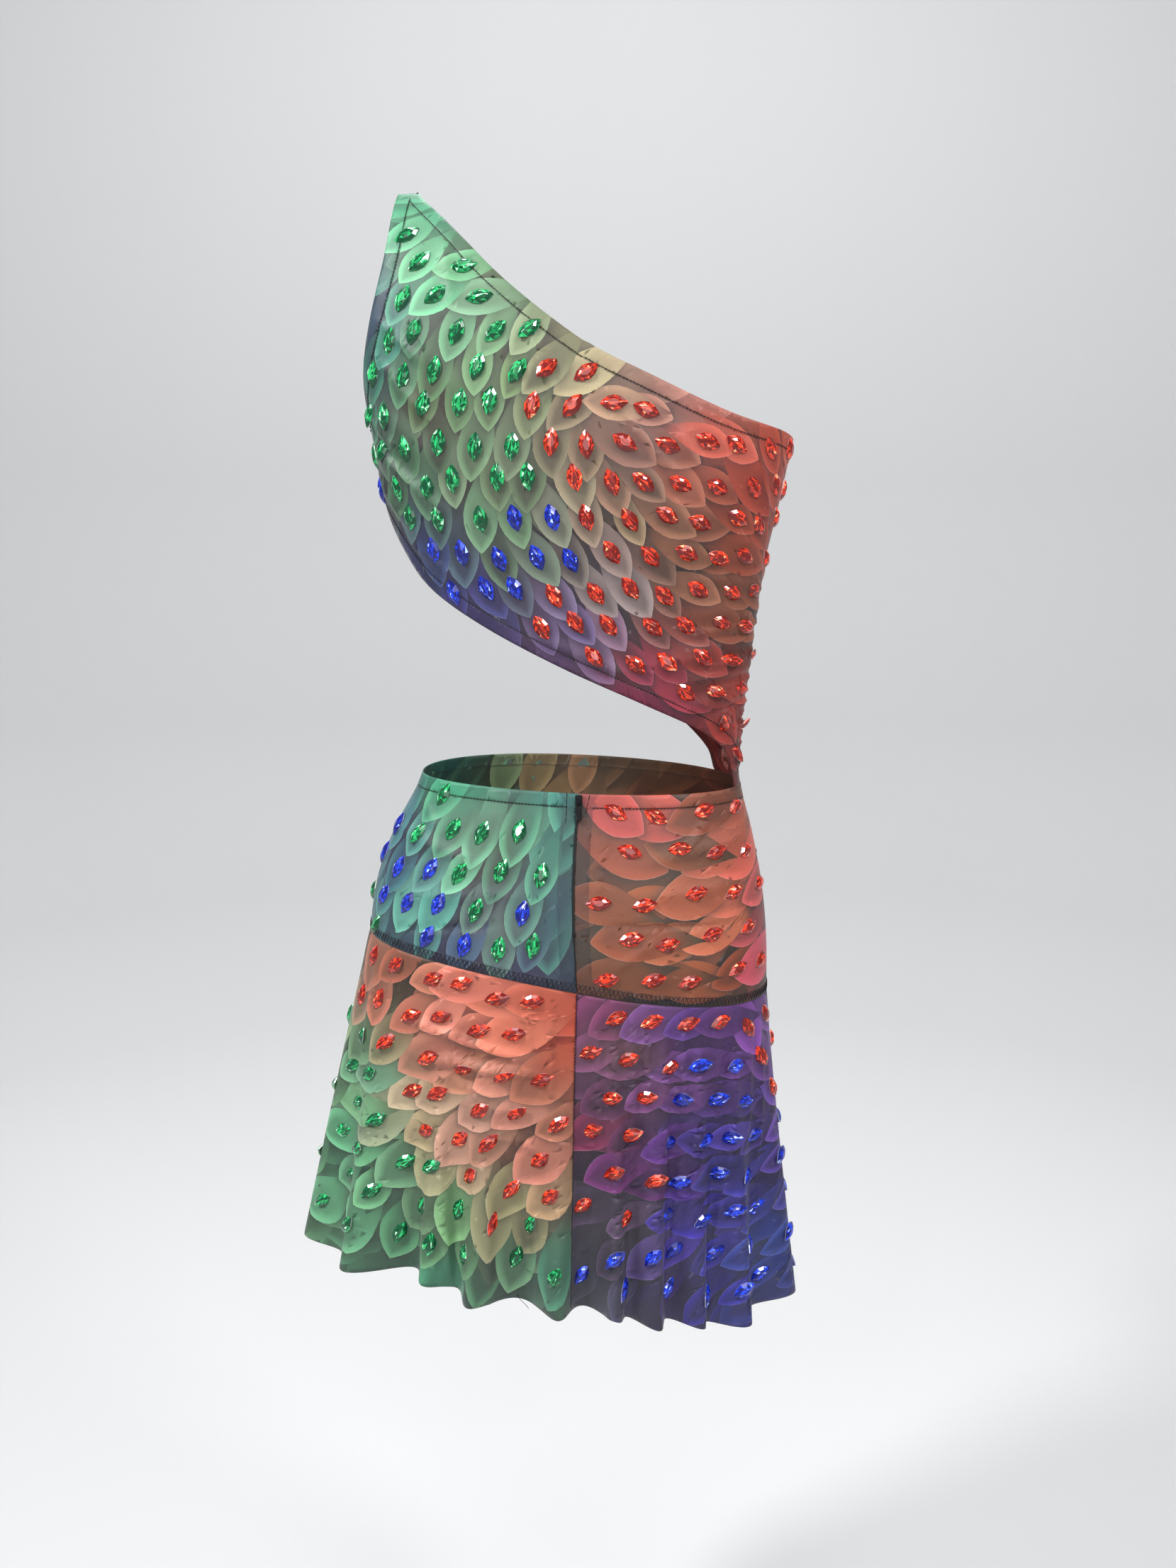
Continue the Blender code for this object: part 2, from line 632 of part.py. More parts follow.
def spread(points, least):
    """The points that are at least a distance from those before them."""
    kept = []
    for point in points:
        if all(math.dist(point, other) > least for other in kept):
            kept.append(point)
    return kept


# Pieces

def build_bodice(home):
    back = bodice_outline(BACK_NECK, BACK_ARMHOLE, BACK_LOWER, False)
    front = bodice_outline(FRONT_NECK, FRONT_ARMHOLE, FRONT_LOWER, True)
    green = material("bodice_back_cloth", (0.22, 0.24, 0.17), 0.6)
    plain = material("bodice_front_cloth", (0.22, 0.22, 0.18), 0.6)
    for name, loop, rows, flow, finish, from_front in (
        ("bodice_back", back, BACK_RIDGES, BACK_FLOW, green, False),
        ("bodice_front", front, FRONT_RIDGES, FRONT_FLOW, plain, True),
    ):
        more = spread(ridge_points(rows), 6 * MM)
        wall(name, bodice_surface, loop, flow, finish, home, from_front, more=more, pitch=(24 * MM, 24 * MM))


def near_zip(u, v):
    return abs(u - centre_back(v)) < (17 * MM if v < WAIST_DOWN + 0.035 else 13 * MM)


def build_yoke(home):
    inset = SEAM_GAP / 2
    side = lambda v: side_of(v, False) - inset
    front_side = lambda v: side_of(v, True) - inset
    left = yoke_outline(side, lambda v: centre_back(v) + inset, False)
    right = yoke_outline(lambda v: centre_back(v) - inset, lambda v: -side(v), False)
    front = yoke_outline(front_side, lambda v: -front_side(v), True)
    panels = (
        ("yoke_back_left", left, YOKE_LEFT_FLOW, (0.13, 0.30, 0.24), False),
        ("yoke_back_right", right, YOKE_RIGHT_FLOW, (0.45, 0.20, 0.12), False),
        ("yoke_front", front, YOKE_FRONT_FLOW, (0.28, 0.24, 0.18), True),
    )
    for name, loop, flow, colour, from_front in panels:
        finish = material(name + "_cloth", colour, 0.6)
        avoid = None if from_front else near_zip
        wall(
            name, yoke_surface, loop, flow, finish, home, from_front, flat=True,
            avoid=avoid, pitch=(24 * MM, 24 * MM),
        )


def build_skirt(home):
    inset = SEAM_GAP / 2
    left, right, front_left, front_right = (
        meet(lambda v: sign * (side_of(v, from_front) - inset), lambda u: hip_down(u, from_front))[0]
        for from_front in (False, True)
        for sign in (1, -1)
    )
    seam = -CENTRE_SWING
    panels = (
        ("skirt_back_left", left, seam + inset, SKIRT_LEFT_FLOW, (0.45, 0.36, 0.26), False),
        ("skirt_back_right", seam - inset, right, SKIRT_RIGHT_FLOW, (0.16, 0.10, 0.28), False),
        ("skirt_front", front_left, front_right, SKIRT_FRONT_FLOW, (0.14, 0.20, 0.28), True),
    )
    for name, left, right, flow, colour, from_front in panels:
        rows = FRONT_FLUTES if from_front else BACK_FLUTES
        loop = skirt_outline(left, right, rows)
        finish = material(name + "_cloth", colour, 0.6)
        columns = flute_columns(left, right, rows)[1:-1]
        wall(
            name, skirt_surface, loop, flow, finish, home, from_front, flat=True,
            columns=columns, pitch=(24 * MM, 50 * MM), scale=(1.0, 0.2),
        )


# Zip

def build_zip_tapes(home):
    """The closed tapes behind the centre-back edges, as one strip with the coil's thickness."""
    behind = -(WALL / 2 + SEAM_GAP + ZIP_TAPE_THICK / 2)
    downs = np.linspace(WAIST_DOWN + 0.004, WAIST_DOWN + ZIP_LENGTH + 0.006, 12)
    rounds = np.linspace(-ZIP_TAPE_WIDTH / 2, ZIP_TAPE_WIDTH / 2, 5)
    u, v = np.meshgrid(rounds, downs)
    u = u + centre_back(v)
    points = figure(u, v) + behind * outward(figure, u, v, False, flat=True)
    mesh = bpy.data.meshes.new("zip_tapes")
    columns = len(rounds)
    faces = [
        (r * columns + c, (r + 1) * columns + c, (r + 1) * columns + c + 1, r * columns + c + 1)
        for r in range(len(downs) - 1)
        for c in range(columns - 1)
    ]
    mesh.from_pydata([tuple(p) for p in points.reshape(-1, 3)], [], [f[::-1] for f in faces])
    mesh.materials.append(material("zip_tape_cloth", (0.02, 0.02, 0.025), 0.8))
    strip = bpy.data.objects.new("zip_tapes", mesh)
    home.objects.link(strip)
    solid = strip.modifiers.new("thickness", "SOLIDIFY")
    solid.thickness = ZIP_TAPE_THICK
    solid.offset = 0
    return strip


def block(name, size, centre, home):
    bpy.ops.mesh.primitive_cube_add(size=1, location=(0, 0, 0))
    made = bpy.context.object
    made.name = name
    made.data.transform(Matrix.Translation(centre) @ Matrix.Diagonal((*size, 1)))
    for owner in list(made.users_collection):
        owner.objects.unlink(made)
    home.objects.link(made)
    return made


def build_slider(home, helpers, seat):
    """Slider body with its bail, a low arch whose window the tab's bar passes through."""
    metal = material("slider_enamel", (0.015, 0.015, 0.018), 0.35, 0.6)
    body = block("zip_slider", (SLIDER_WIDTH, SLIDER_THICK, SLIDER_LENGTH), (0, SLIDER_THICK / 2, 0), home)
    body.data.materials.append(metal)
    soften = body.modifiers.new("soft_edges", "BEVEL")
    soften.width = 0.5 * MM
    soften.segments = 2
    post_out = SLIDER_THICK + (WINDOW_DEEP + BAIL_BAR) / 2 - 0.1 * MM
    pieces = []
    for name, sign in (("bail_top", 1), ("bail_foot", -1)):
        size = (BAIL_WIDTH, WINDOW_DEEP + BAIL_BAR + 0.2 * MM, BAIL_BAR)
        pieces.append(block(name, size, (0, post_out, sign * (WINDOW_TALL + BAIL_BAR) / 2), helpers))
    size = (BAIL_WIDTH, BAIL_BAR, WINDOW_TALL + 2 * BAIL_BAR)
    pieces.append(block("bail_bridge", size, (0, SLIDER_THICK + WINDOW_DEEP + BAIL_BAR / 2, 0), helpers))
    for piece in pieces:
        piece.hide_render = True
        piece.display_type = "WIRE"
        piece.parent = seat
        join = body.modifiers.new("join_" + piece.name, "BOOLEAN")
        join.operation = "UNION"
        join.object = piece
    body.parent = seat
    return body


def build_tab(home, pivot):
    """Teardrop tab in one plate: its bar lies on the pivot, and the bail passes through the slot below."""
    outline = bpy.data.curves.new("zip_pull_tab", "CURVE")
    outline.dimensions = "2D"
    outline.fill_mode = "BOTH"
    outline.extrude = TAB_THICK / 2
    slot_half, slot_tall, head = 0.95 * MM, 3.4 * MM, 1.9 * MM
    drop = TAB_LENGTH - TAB_WIDTH / 2 - TAB_BAR / 2
    blade = [(head, TAB_BAR / 2)]
    blade += [
        (TAB_WIDTH / 2 * math.cos(a), -drop + TAB_WIDTH / 2 * math.sin(a))
        for a in (-math.pi * k / 12 for k in range(13))
    ]
    blade += [(-head, TAB_BAR / 2)]
    slot = [(-slot_half, -TAB_BAR / 2), (-slot_half, -TAB_BAR / 2 - slot_tall)]
    slot += [(slot_half, -TAB_BAR / 2 - slot_tall), (slot_half, -TAB_BAR / 2)]
    for corners in (blade, slot):
        line = outline.splines.new("POLY")
        line.points.add(len(corners) - 1)
        for point, (x, y) in zip(line.points, corners):
            point.co = (x, y, 0, 1)
        line.use_cyclic_u = True
    outline.materials.append(material("tab_enamel", (0.015, 0.015, 0.018), 0.3, 0.6))
    tab = bpy.data.objects.new("zip_pull_tab", outline)
    home.objects.link(tab)
    tab.parent = pivot
    tab.rotation_euler = (math.pi / 2, 0, 0)
    return tab


def build_zip(home, helpers):
    build_zip_tapes(home)
    down = WAIST_DOWN + WAIST_DIP + SLIDER_LENGTH / 2 + 1.0 * MM
    centre = centre_back(down)
    run = figure(centre, down + SLIDER_LENGTH / 2) - figure(centre, down - SLIDER_LENGTH / 2)
    slope = math.atan2(run[1], -run[2])
    middle = figure(centre, down)
    out = Vector((0, math.cos(slope), math.sin(slope)))
    seat = bpy.data.objects.new("slider_seat", None)
    home.objects.link(seat)
    seat.location = Vector(middle) + out * (WALL / 2 / math.cos(slope) + SEAM_GAP + 0.1 * MM)
    seat.rotation_euler = (slope, 0, 0)
    build_slider(home, helpers, seat)
    pivot = bpy.data.objects.new("tab_pivot", None)
    home.objects.link(pivot)
    pivot.parent = seat
    pivot.location = (0, SLIDER_THICK + WINDOW_DEEP / 2, 0)
    build_tab(home, pivot)


def main():
    clear_scene()
    home = collection("one_shoulder_party_dress")
    helpers = collection("zip_helpers")
    build_bodice(home)
    build_yoke(home)
    build_skirt(home)
    build_zip(home, helpers)


main()
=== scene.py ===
"""Looks of the one-shoulder party dress: printed mesh panels, faceted stones, stitching and the zip.

Metres, +Z up. The back faces +Y and the wearer's left is +X. A place on a panel is two tape
measures: how far round it lies from centre back or front, and how far down from the shoulder.
"""

import math
import random

import bpy
import numpy as np
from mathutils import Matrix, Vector
from mathutils.geometry import delaunay_2d_cdt


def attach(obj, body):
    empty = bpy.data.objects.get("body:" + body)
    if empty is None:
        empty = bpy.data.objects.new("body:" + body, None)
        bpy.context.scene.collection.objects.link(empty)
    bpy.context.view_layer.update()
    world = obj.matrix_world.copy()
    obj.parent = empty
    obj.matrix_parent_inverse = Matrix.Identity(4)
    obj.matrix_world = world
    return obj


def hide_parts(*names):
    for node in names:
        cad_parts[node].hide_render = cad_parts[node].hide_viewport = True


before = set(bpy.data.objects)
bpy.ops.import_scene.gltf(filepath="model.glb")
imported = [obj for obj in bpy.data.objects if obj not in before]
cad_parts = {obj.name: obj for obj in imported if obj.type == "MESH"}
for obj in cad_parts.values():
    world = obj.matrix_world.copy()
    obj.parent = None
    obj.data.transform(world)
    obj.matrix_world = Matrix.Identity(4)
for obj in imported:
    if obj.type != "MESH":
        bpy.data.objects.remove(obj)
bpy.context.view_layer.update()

MM = 0.001
SEAM_GAP = 0.3 * MM
SHOULDER_ACROSS = 0.123
DROP = 0.252
STONE_LONG = 18 * MM
STONE_WIDE = 9 * MM
EDGE_PITCH = 12 * MM

# The figure that fills the dress, in mm: one row for each level.
# down the back, height, centre across, centre deep, half width, half depth behind, in front, squareness
LEVELS = (
    (0, 0.7, 0, 0, 185, 0.2, 0.2, 3.6),
    (8, -0.7, 0, 0, 185, 8, 9, 3.6),
    (20, -6, 0, 0, 184, 17, 22, 3.4),
    (40, -19, 0, 0, 182, 30, 40, 3.2),
    (65, -39, 0, 1, 177, 43, 56, 3.0),
    (95, -66, 1, 3, 170, 53, 69, 2.8),
    (130, -99, 2, 5, 161, 62, 80, 2.6),
    (165, -133, 3, 4, 154, 68, 92, 2.5),
    (200, -168, 3.5, 2, 148, 71, 104, 2.4),
    (240, -208, 4, 0, 141, 70, 110, 2.3),
    (280, -248, 2, -4, 131, 66, 98, 2.2),
    (320, -288, 0, -6, 123, 62, 86, 2.2),
    (360, -328, -1, -8, 118, 60, 78, 2.2),
    (400, -368, 1, -9, 115, 59, 74, 2.2),
    (440, -408, 6, -8, 120.5, 58, 76, 2.2),
    (480, -448, 11.5, -6, 136, 68, 80, 2.2),
    (520, -488, 14.5, -3, 147, 78, 86, 2.2),
    (560, -528, 15, 0, 151.5, 84, 90, 2.25),
    (600, -568, 15, 1, 152.5, 86, 92, 2.25),
    (640, -608, 16, 2, 154, 87, 94, 2.25),
)

# Edges of the bodice, in mm: one row for each bend. round from centre back or front, down
BACK_NECK = ((-182, 197), (-150, 193), (-100, 183), (-44, 160), (8, 133), (64, 85), (108, 28), (116, 0))
BACK_ARMHOLE = ((130, 0), (131, 28), (137, 80), (149, 122), (165, 157), (182, 187))
BACK_LOWER = (
    (170, 238), (144, 270), (118, 297), (72, 326), (16, 355),
    (-40, 380), (-88, 402), (-112, 420), (-124, 441),
)
FRONT_NECK = ((-206, 197), (-165, 200), (-110, 196), (-45, 178), (15, 146), (70, 92), (108, 30), (116, 0))
FRONT_ARMHOLE = ((130, 0), (130, 30), (134, 80), (150, 125), (176, 162), (205, 187))
FRONT_LOWER = (
    (200, 238), (170, 258), (120, 285), (60, 316), (0, 350),
    (-50, 384), (-92, 414), (-108, 428), (-116, 444),
)

# Gathered folds of the bodice, in mm: one row for each ridge.
# round at one end, down there, round at the other end, down there, rise, half width
BACK_RIDGES = (
    (-60, 268, -160, 290, 1.6, 7),
    (-70, 318, -150, 312, 2.2, 6),
    (-50, 345, -142, 334, 2.6, 6),
    (-62, 366, -138, 352, 3.0, 5.5),
    (-66, 384, -136, 371, 3.2, 5),
    (-84, 396, -136, 388, 3.0, 4.5),
    (-98, 408, -140, 405, 3.0, 4.5),
    (-108, 421, -142, 421, 2.4, 4),
    (160, 168, 96, 218, 2.2, 8),
    (166, 200, 112, 238, 2.0, 7),
    (120, 120, 84, 172, 1.6, 9),
)
FRONT_RIDGES = (
    (-60, 262, -175, 286, 1.8, 8),
    (-50, 306, -165, 308, 2.2, 6),
    (-40, 338, -160, 330, 2.6, 6),
    (-60, 362, -152, 350, 3.0, 5.5),
    (-74, 384, -148, 370, 3.2, 5),
    (-86, 400, -148, 388, 3.0, 4.5),
    (-98, 414, -150, 405, 3.0, 4.5),
    (-104, 427, -152, 421, 2.4, 4),
    (178, 176, 110, 214, 2.4, 9),
)

# Flutes of the skirt, in mm: one row for each.
# round from centre back at the seam, half width, depth, lean, start as a share of the drop
BACK_FLUTES = (
    (-172, 13, 20, 5, 0.08),
    (-130, 12, 22, 7, 0.10),
    (-97, 11, 20, 7, 0.04),
    (-64, 11, 22, 8, 0.03),
    (-36, 10, 20, 7, 0.06),
    (4, 12, 20, 4, 0.20),
    (55, 14, 24, -8, 0.15),
    (91, 11, 18, -7, 0.20),
    (137, 14, 26, -9, 0.06),
    (176, 11, 18, -5, 0.10),
)
# The same on the front, from centre front.
FRONT_FLUTES = (
    (-172, 13, 19, -5, 0.08),
    (-136, 12, 22, -7, 0.10),
    (-100, 12, 18, -6, 0.12),
    (-66, 12, 22, -7, 0.05),
    (-33, 11, 18, -5, 0.15),
    (0, 12, 21, 6, 0.08),
    (36, 11, 18, 6, 0.15),
    (70, 12, 23, 7, 0.05),
    (104, 12, 18, 6, 0.12),
    (138, 12, 22, 7, 0.08),
    (172, 12, 19, 5, 0.08),
)
FLARE_LEFT, FLARE_RIGHT, FLARE_BACK, FLARE_FRONT = 0.037, 0.020, -0.008, 0.008
SWAY, FALL = 7 * MM, 0.985
FOLD_APART = 2.2 * MM

# Which way the stones' lower tips point, in degrees from straight down towards the wearer's left.
# round, down, heading: one row for each place where the lines of stones turn
FLOWS = {
    "bodice_back": (
        (122, 30, 60), (70, 95, 82), (140, 110, 22), (95, 150, 16), (45, 190, 4), (150, 205, 0),
        (100, 260, -4), (20, 160, 50), (-60, 190, -70), (10, 240, -14), (60, 310, -28), (-20, 300, -35),
        (-90, 260, -70), (-60, 345, -50), (-150, 240, -30), (-120, 350, -80), (-120, 420, -30),
    ),
    "bodice_front": (
        (122, 30, 55), (70, 100, 75), (150, 120, 20), (90, 170, 12), (20, 170, 45), (-60, 210, -60),
        (120, 240, 0), (20, 260, -20), (60, 300, -30), (-40, 300, -40), (-110, 260, -70),
        (-90, 350, -55), (-110, 420, -30),
    ),
    "yoke_back_left": (
        (30, 455, 8), (150, 455, 24), (90, 500, 30), (30, 540, 10), (150, 540, 40),
    ),
    "yoke_back_right": (
        (-40, 460, -60), (-120, 460, 70), (-60, 510, 84), (-130, 520, 75), (-60, 560, 82),
        (-140, 580, 70),
    ),
    "yoke_front": (
        (130, 455, 20), (130, 560, 35), (0, 500, 5), (-130, 470, 75), (-130, 570, 84),
    ),
    "skirt_back_left": (
        (30, 30, 70), (100, 40, 60), (170, 40, 15), (30, 120, 45), (120, 130, 60), (170, 150, 70),
        (60, 220, 20),
    ),
    "skirt_back_right": (
        (-20, 40, 60), (-90, 50, 70), (-170, 40, -30), (-30, 140, 50), (-100, 140, 80), (-170, 170, 60),
        (-60, 220, 25),
    ),
    "skirt_front": (
        (150, 40, 20), (60, 40, 60), (-60, 60, 70), (-150, 60, 40), (100, 200, 50), (-100, 200, 60),
    ),
}
FLOW_BLUR, FLOW_FALL = 200, 1.5

# Stones on a panel, in mm: pitch round, pitch down, unevenness, seed
STONES = {
    "bodice_back": (25.5, 24, 3.6, 3),
    "bodice_front": (30, 28, 3.6, 5),
    "yoke_back_left": (28, 25, 4.0, 7),
    "yoke_back_right": (34, 29, 4.0, 11),
    "yoke_front": (33, 28, 4.0, 13),
    "skirt_back_left": (27, 29, 4.2, 17),
    "skirt_back_right": (27, 30, 4.2, 19),
    "skirt_front": (34, 35, 4.2, 23),
}
STONE_TO_EDGE, RING_CLEAR = 7 * MM, 1.5 * MM
ZIP_LENGTH = 0.098
CLOTH_PITCH = 5 * MM


# Form of the figure

ROWS = np.array(LEVELS, float)
ROWS[:, :7] *= MM
TURN = np.linspace(0, math.pi, 181)


def level(down):
    """The seven values of the levels table at each tape measure down, on a smooth curve through its rows."""
    knots, values = ROWS[:, 0], ROWS[:, 1:]
    down = np.clip(down, knots[0], knots[-1])
    i = np.clip(np.searchsorted(knots, down, side="right") - 1, 0, len(knots) - 2)
    step = np.diff(knots)
    slope = np.diff(values, axis=0) / step[:, None]
    share = (step[:-1] / (step[:-1] + step[1:]))[:, None]
    bend = np.concatenate([slope[:1], slope[:-1] * (1 - share) + slope[1:] * share, slope[-1:]])
    t, h = ((down - knots[i]) / step[i])[:, None], step[i][:, None]
    rise = (3 - 2 * t) * t * t
    return (
        (1 - rise) * values[i]
        + rise * values[i + 1]
        + t * (1 - t) * h * ((1 - t) * bend[i] - t * bend[i + 1])
    )


def oval(turn, half_width, behind, before, square):
    """Point of a level's outline at an angle from centre back."""
    sine, cosine = np.sin(turn), np.cos(turn)
    deep = np.where(cosine >= 0, behind, before)
    return (
        half_width * np.abs(sine) ** (2 / square),
        deep * np.abs(cosine) ** (2 / square) * np.sign(cosine),
    )


def tapes(rows):
    """Tape measures round from centre back to each angle of TURN, one row for each level."""
    across, deep = oval(TURN[None, :], *[rows[:, k : k + 1] for k in (3, 4, 5, 6)])
    steps = np.hypot(np.diff(across, axis=1), np.diff(deep, axis=1))
    return np.concatenate([np.zeros((len(rows), 1)), np.cumsum(steps, axis=1)], axis=1)


def quarter(down):
    """Tape from centre back to the side."""
    return float(tapes(level(np.array([down])))[0, len(TURN) // 2])


def half(down):
    """Tape from centre back to centre front."""
    return float(tapes(level(np.array([down])))[0, -1])


def turn_table():
    """Angles from centre back at even shares of the tape, and the whole tape, for each millimetre down."""
    tape = tapes(level(np.arange(0, ROWS[-1, 0] + 0.5 * MM, MM)))
    shares = np.linspace(0, 1, 721)
    return np.array([np.interp(shares, row / row[-1], TURN) for row in tape]), tape[:, -1]


ANGLES, WHOLE_TAPE = turn_table()


def figure(around, down, from_front=False):
    """Points on the figure at tape measures around and down."""
    around, down = np.broadcast_arrays(np.asarray(around, float), np.asarray(down, float))
    rows = level(down.ravel())
    mark = np.clip(down.ravel(), 0, ROWS[-1, 0] - 1e-9) / MM
    i = mark.astype(int)
    lower = mark - i
    whole = WHOLE_TAPE[i] * (1 - lower) + WHOLE_TAPE[i + 1] * lower
    from_back = (whole - around.ravel()) if from_front else around.ravel()
    from_back = np.where(from_back > whole, from_back - 2 * whole, from_back)
    side = np.where(from_back < 0, -1.0, 1.0)
    share = np.clip(np.abs(from_back) / whole, 0, 1) * (ANGLES.shape[1] - 1)
    j = np.minimum(share.astype(int), ANGLES.shape[1] - 2)
    later = share - j
    turn = (ANGLES[i, j] * (1 - later) + ANGLES[i, j + 1] * later) * (1 - lower)
    turn += (ANGLES[i + 1, j] * (1 - later) + ANGLES[i + 1, j + 1] * later) * lower
    across, deep = oval(turn, rows[:, 3], rows[:, 4], rows[:, 5], rows[:, 6])
    points = np.stack([rows[:, 1] + side * across - SHOULDER_ACROSS, rows[:, 2] + deep, rows[:, 0]], axis=1)
    return points.reshape(around.shape + (3,))


# Levels of the two seams round the hips, which lean with the figure

WAIST_DOWN, WAIST_DIP, WAIST_LEAN = 0.4395, 0.0035, 0.0045
HIP_DOWN, HIP_LEAN = 0.578, 0.024
CENTRE_SWING = 7 * MM


def swing(around, down, from_front):
    """Angle round the figure, from centre back, that a tape measure stands for."""
    angle = math.pi * np.asarray(around) / half(down)
    return math.pi - angle if from_front else angle


def waist_down(around, from_front=False):
    angle = swing(around, WAIST_DOWN, from_front)
    return WAIST_DOWN + WAIST_DIP * np.cos(angle) - WAIST_LEAN * np.sin(angle)


def centre_back(down):
    """The centre-back seam, which swings a little towards the right hip."""
    return -CENTRE_SWING * np.clip((down - WAIST_DOWN) / (HIP_DOWN - WAIST_DOWN), 0, 1)


def hip_down(around, from_front=False):
    return HIP_DOWN - HIP_LEAN * np.sin(swing(around, HIP_DOWN, from_front))


# Cloth surfaces: each takes tape measures and gives points of the wall's middle

def ridges(around, down, rows):
    """Rise of the gathered folds: each is a soft ridge along a line that fades at both ends."""
    total = np.zeros(np.shape(around))
    for u0, v0, u1, v1, rise, half_width in rows:
        start, run = np.array((u0, v0)) * MM, np.array((u1 - u0, v1 - v0)) * MM
        length = math.hypot(*run)
        along = ((around - start[0]) * run[0] + (down - start[1]) * run[1]) / length**2
        off = ((around - start[0]) * run[1] - (down - start[1]) * run[0]) / length
        fade = np.clip(along / 0.3, 0, 1) * np.clip((1.08 - along) / 0.2, 0, 1)
        total = total + rise * MM * fade * np.exp(-((off / (half_width * MM)) ** 2))
    return total


def outward(place, around, down, from_front, flat=False):
    """Unit normals of the surface that place describes; flat ones lie level."""
    step = 1.0 * MM
    along = place(around + step, down, from_front) - place(around - step, down, from_front)
    if flat:
        fall = np.broadcast_to(np.array((0.0, 0.0, -1.0)), along.shape)
    else:
        fall = place(around, down + step, from_front) - place(around, np.maximum(down - step, 0), from_front)
    normal = np.cross(along, fall) * (-1.0 if from_front else 1.0)
    return normal / np.linalg.norm(normal, axis=-1, keepdims=True)


def bodice_surface(around, down, from_front):
    rows = FRONT_RIDGES if from_front else BACK_RIDGES
    settle = np.clip((WAIST_DOWN - 1.5 * MM - down) / (12 * MM), 0, 1)
    rise = ridges(around, down, rows) * settle
    return figure(around, down, from_front) + rise[..., None] * outward(figure, around, down, from_front)


def yoke_surface(around, down, from_front):
    return figure(around, down, from_front)


def skirt_surface(around, drop, from_front):
    """The flounce: it hangs from the hip seam, flares and stands out in leaning flutes."""
    around, drop = np.broadcast_arrays(np.asarray(around, float), np.asarray(drop, float))
    seam = hip_down(around, from_front)
    top = figure(around, seam, from_front)
    out = outward(figure, around, seam, from_front, flat=True)
    side = np.stack([-out[..., 1], out[..., 0], np.zeros(around.shape)], axis=-1)
    share = drop / DROP
    flare = (
        np.where(out[..., 0] > 0, FLARE_LEFT, FLARE_RIGHT) * out[..., 0] ** 2
        + np.where(out[..., 1] > 0, FLARE_BACK, FLARE_FRONT) * out[..., 1] ** 2
    ) * share**0.8
    lean = np.zeros(around.shape)
    for centre, half_width, depth, slant, start in FRONT_FLUTES if from_front else BACK_FLUTES:
        bump = np.exp(-(((around - centre * MM) / (half_width * MM)) ** 2))
        grown = np.clip((share - start) / (1 - start), 0, 1) ** 1.15
        flare = flare + depth * MM * bump * grown
        lean = lean + slant * MM * bump * grown
    fall = np.zeros(around.shape + (3,))
    fall[..., 0], fall[..., 2] = SWAY * share, -drop * FALL
    return top + out * flare[..., None] + side * lean[..., None] + fall


# Outlines of the panels

def through(rows, pitch=EDGE_PITCH):
    """Evenly spaced points on a smooth curve through the rows of an edge."""
    knots = np.array(rows, float) * MM
    before, after = 2 * knots[0] - knots[1], 2 * knots[-1] - knots[-2]
    path = np.vstack([before, knots, after])
    fine = []
    for a, b, c, d in zip(path, path[1:], path[2:], path[3:]):
        for t in np.arange(0, 1, 0.05):
            bend = (2 * a - 5 * b + 4 * c - d) * t**2 + (3 * b - 3 * c + d - a) * t**3
            fine.append(b + 0.5 * ((c - a) * t + bend))
    return evenly(np.array(fine + [knots[-1]]), pitch)


def evenly(path, pitch):
    run = np.concatenate([[0], np.cumsum(np.hypot(*np.diff(path, axis=0).T))])
    count = max(2, round(run[-1] / pitch) + 1)
    marks = np.linspace(0, run[-1], count)
    return np.stack([np.interp(marks, run, path[:, k]) for k in (0, 1)], axis=1)


def seam_line(start, end, place, pitch=EDGE_PITCH):
    """Points of a seam from one tape measure to another; place turns each into a point of the panel."""
    count = max(2, round(abs(end - start) / pitch) + 1)
    return np.array([place(mark) for mark in np.linspace(start, end, count)])


def meet(side, edge):
    """The corner where a seam, given by the tape down, meets an edge, given by the tape round."""
    down = WAIST_DOWN
    for _ in range(8):
        down = edge(side(down))
    return side(down), down


def closed_outline(*edges):
    """One loop from edges laid end to end, with no corner twice."""
    loop = [edges[0][0]]
    for edge in edges:
        for point in edge:
            if math.dist(point, loop[-1]) > 0.8 * MM and math.dist(point, loop[0]) > 0.8 * MM:
                loop.append(point)
    loop = np.array(loop)
    area = np.sum(loop[:, 0] * np.roll(loop[:, 1], -1) - loop[:, 1] * np.roll(loop[:, 0], -1))
    return loop if area > 0 else loop[::-1]


def side_of(down, from_front):
    return half(down) - quarter(down) if from_front else quarter(down)


def bodice_outline(neck, armhole, lower, from_front, pitch=EDGE_PITCH, inset=SEAM_GAP / 2):
    left_side = lambda v: side_of(v, from_front) - inset
    right_side = lambda v: -side_of(v, from_front) + inset
    waist = lambda u: waist_down(u, from_front) - inset
    left = seam_line(armhole[-1][1] * MM, lower[0][1] * MM, lambda v: (left_side(v), v), pitch)
    corner = meet(right_side, waist)
    base = seam_line(lower[-1][0] * MM, corner[0], lambda u: (u, waist(u)), pitch)
    right = seam_line(corner[1], neck[0][1] * MM, lambda v: (right_side(v), v), pitch)
    hem = through(lower, pitch)
    hem[0], hem[-1] = left[-1], base[0]
    top, arm = through(neck, pitch), through(armhole, pitch)
    top[0], arm[-1] = right[-1], left[0]
    return closed_outline(arm, left, hem, base, right, top)


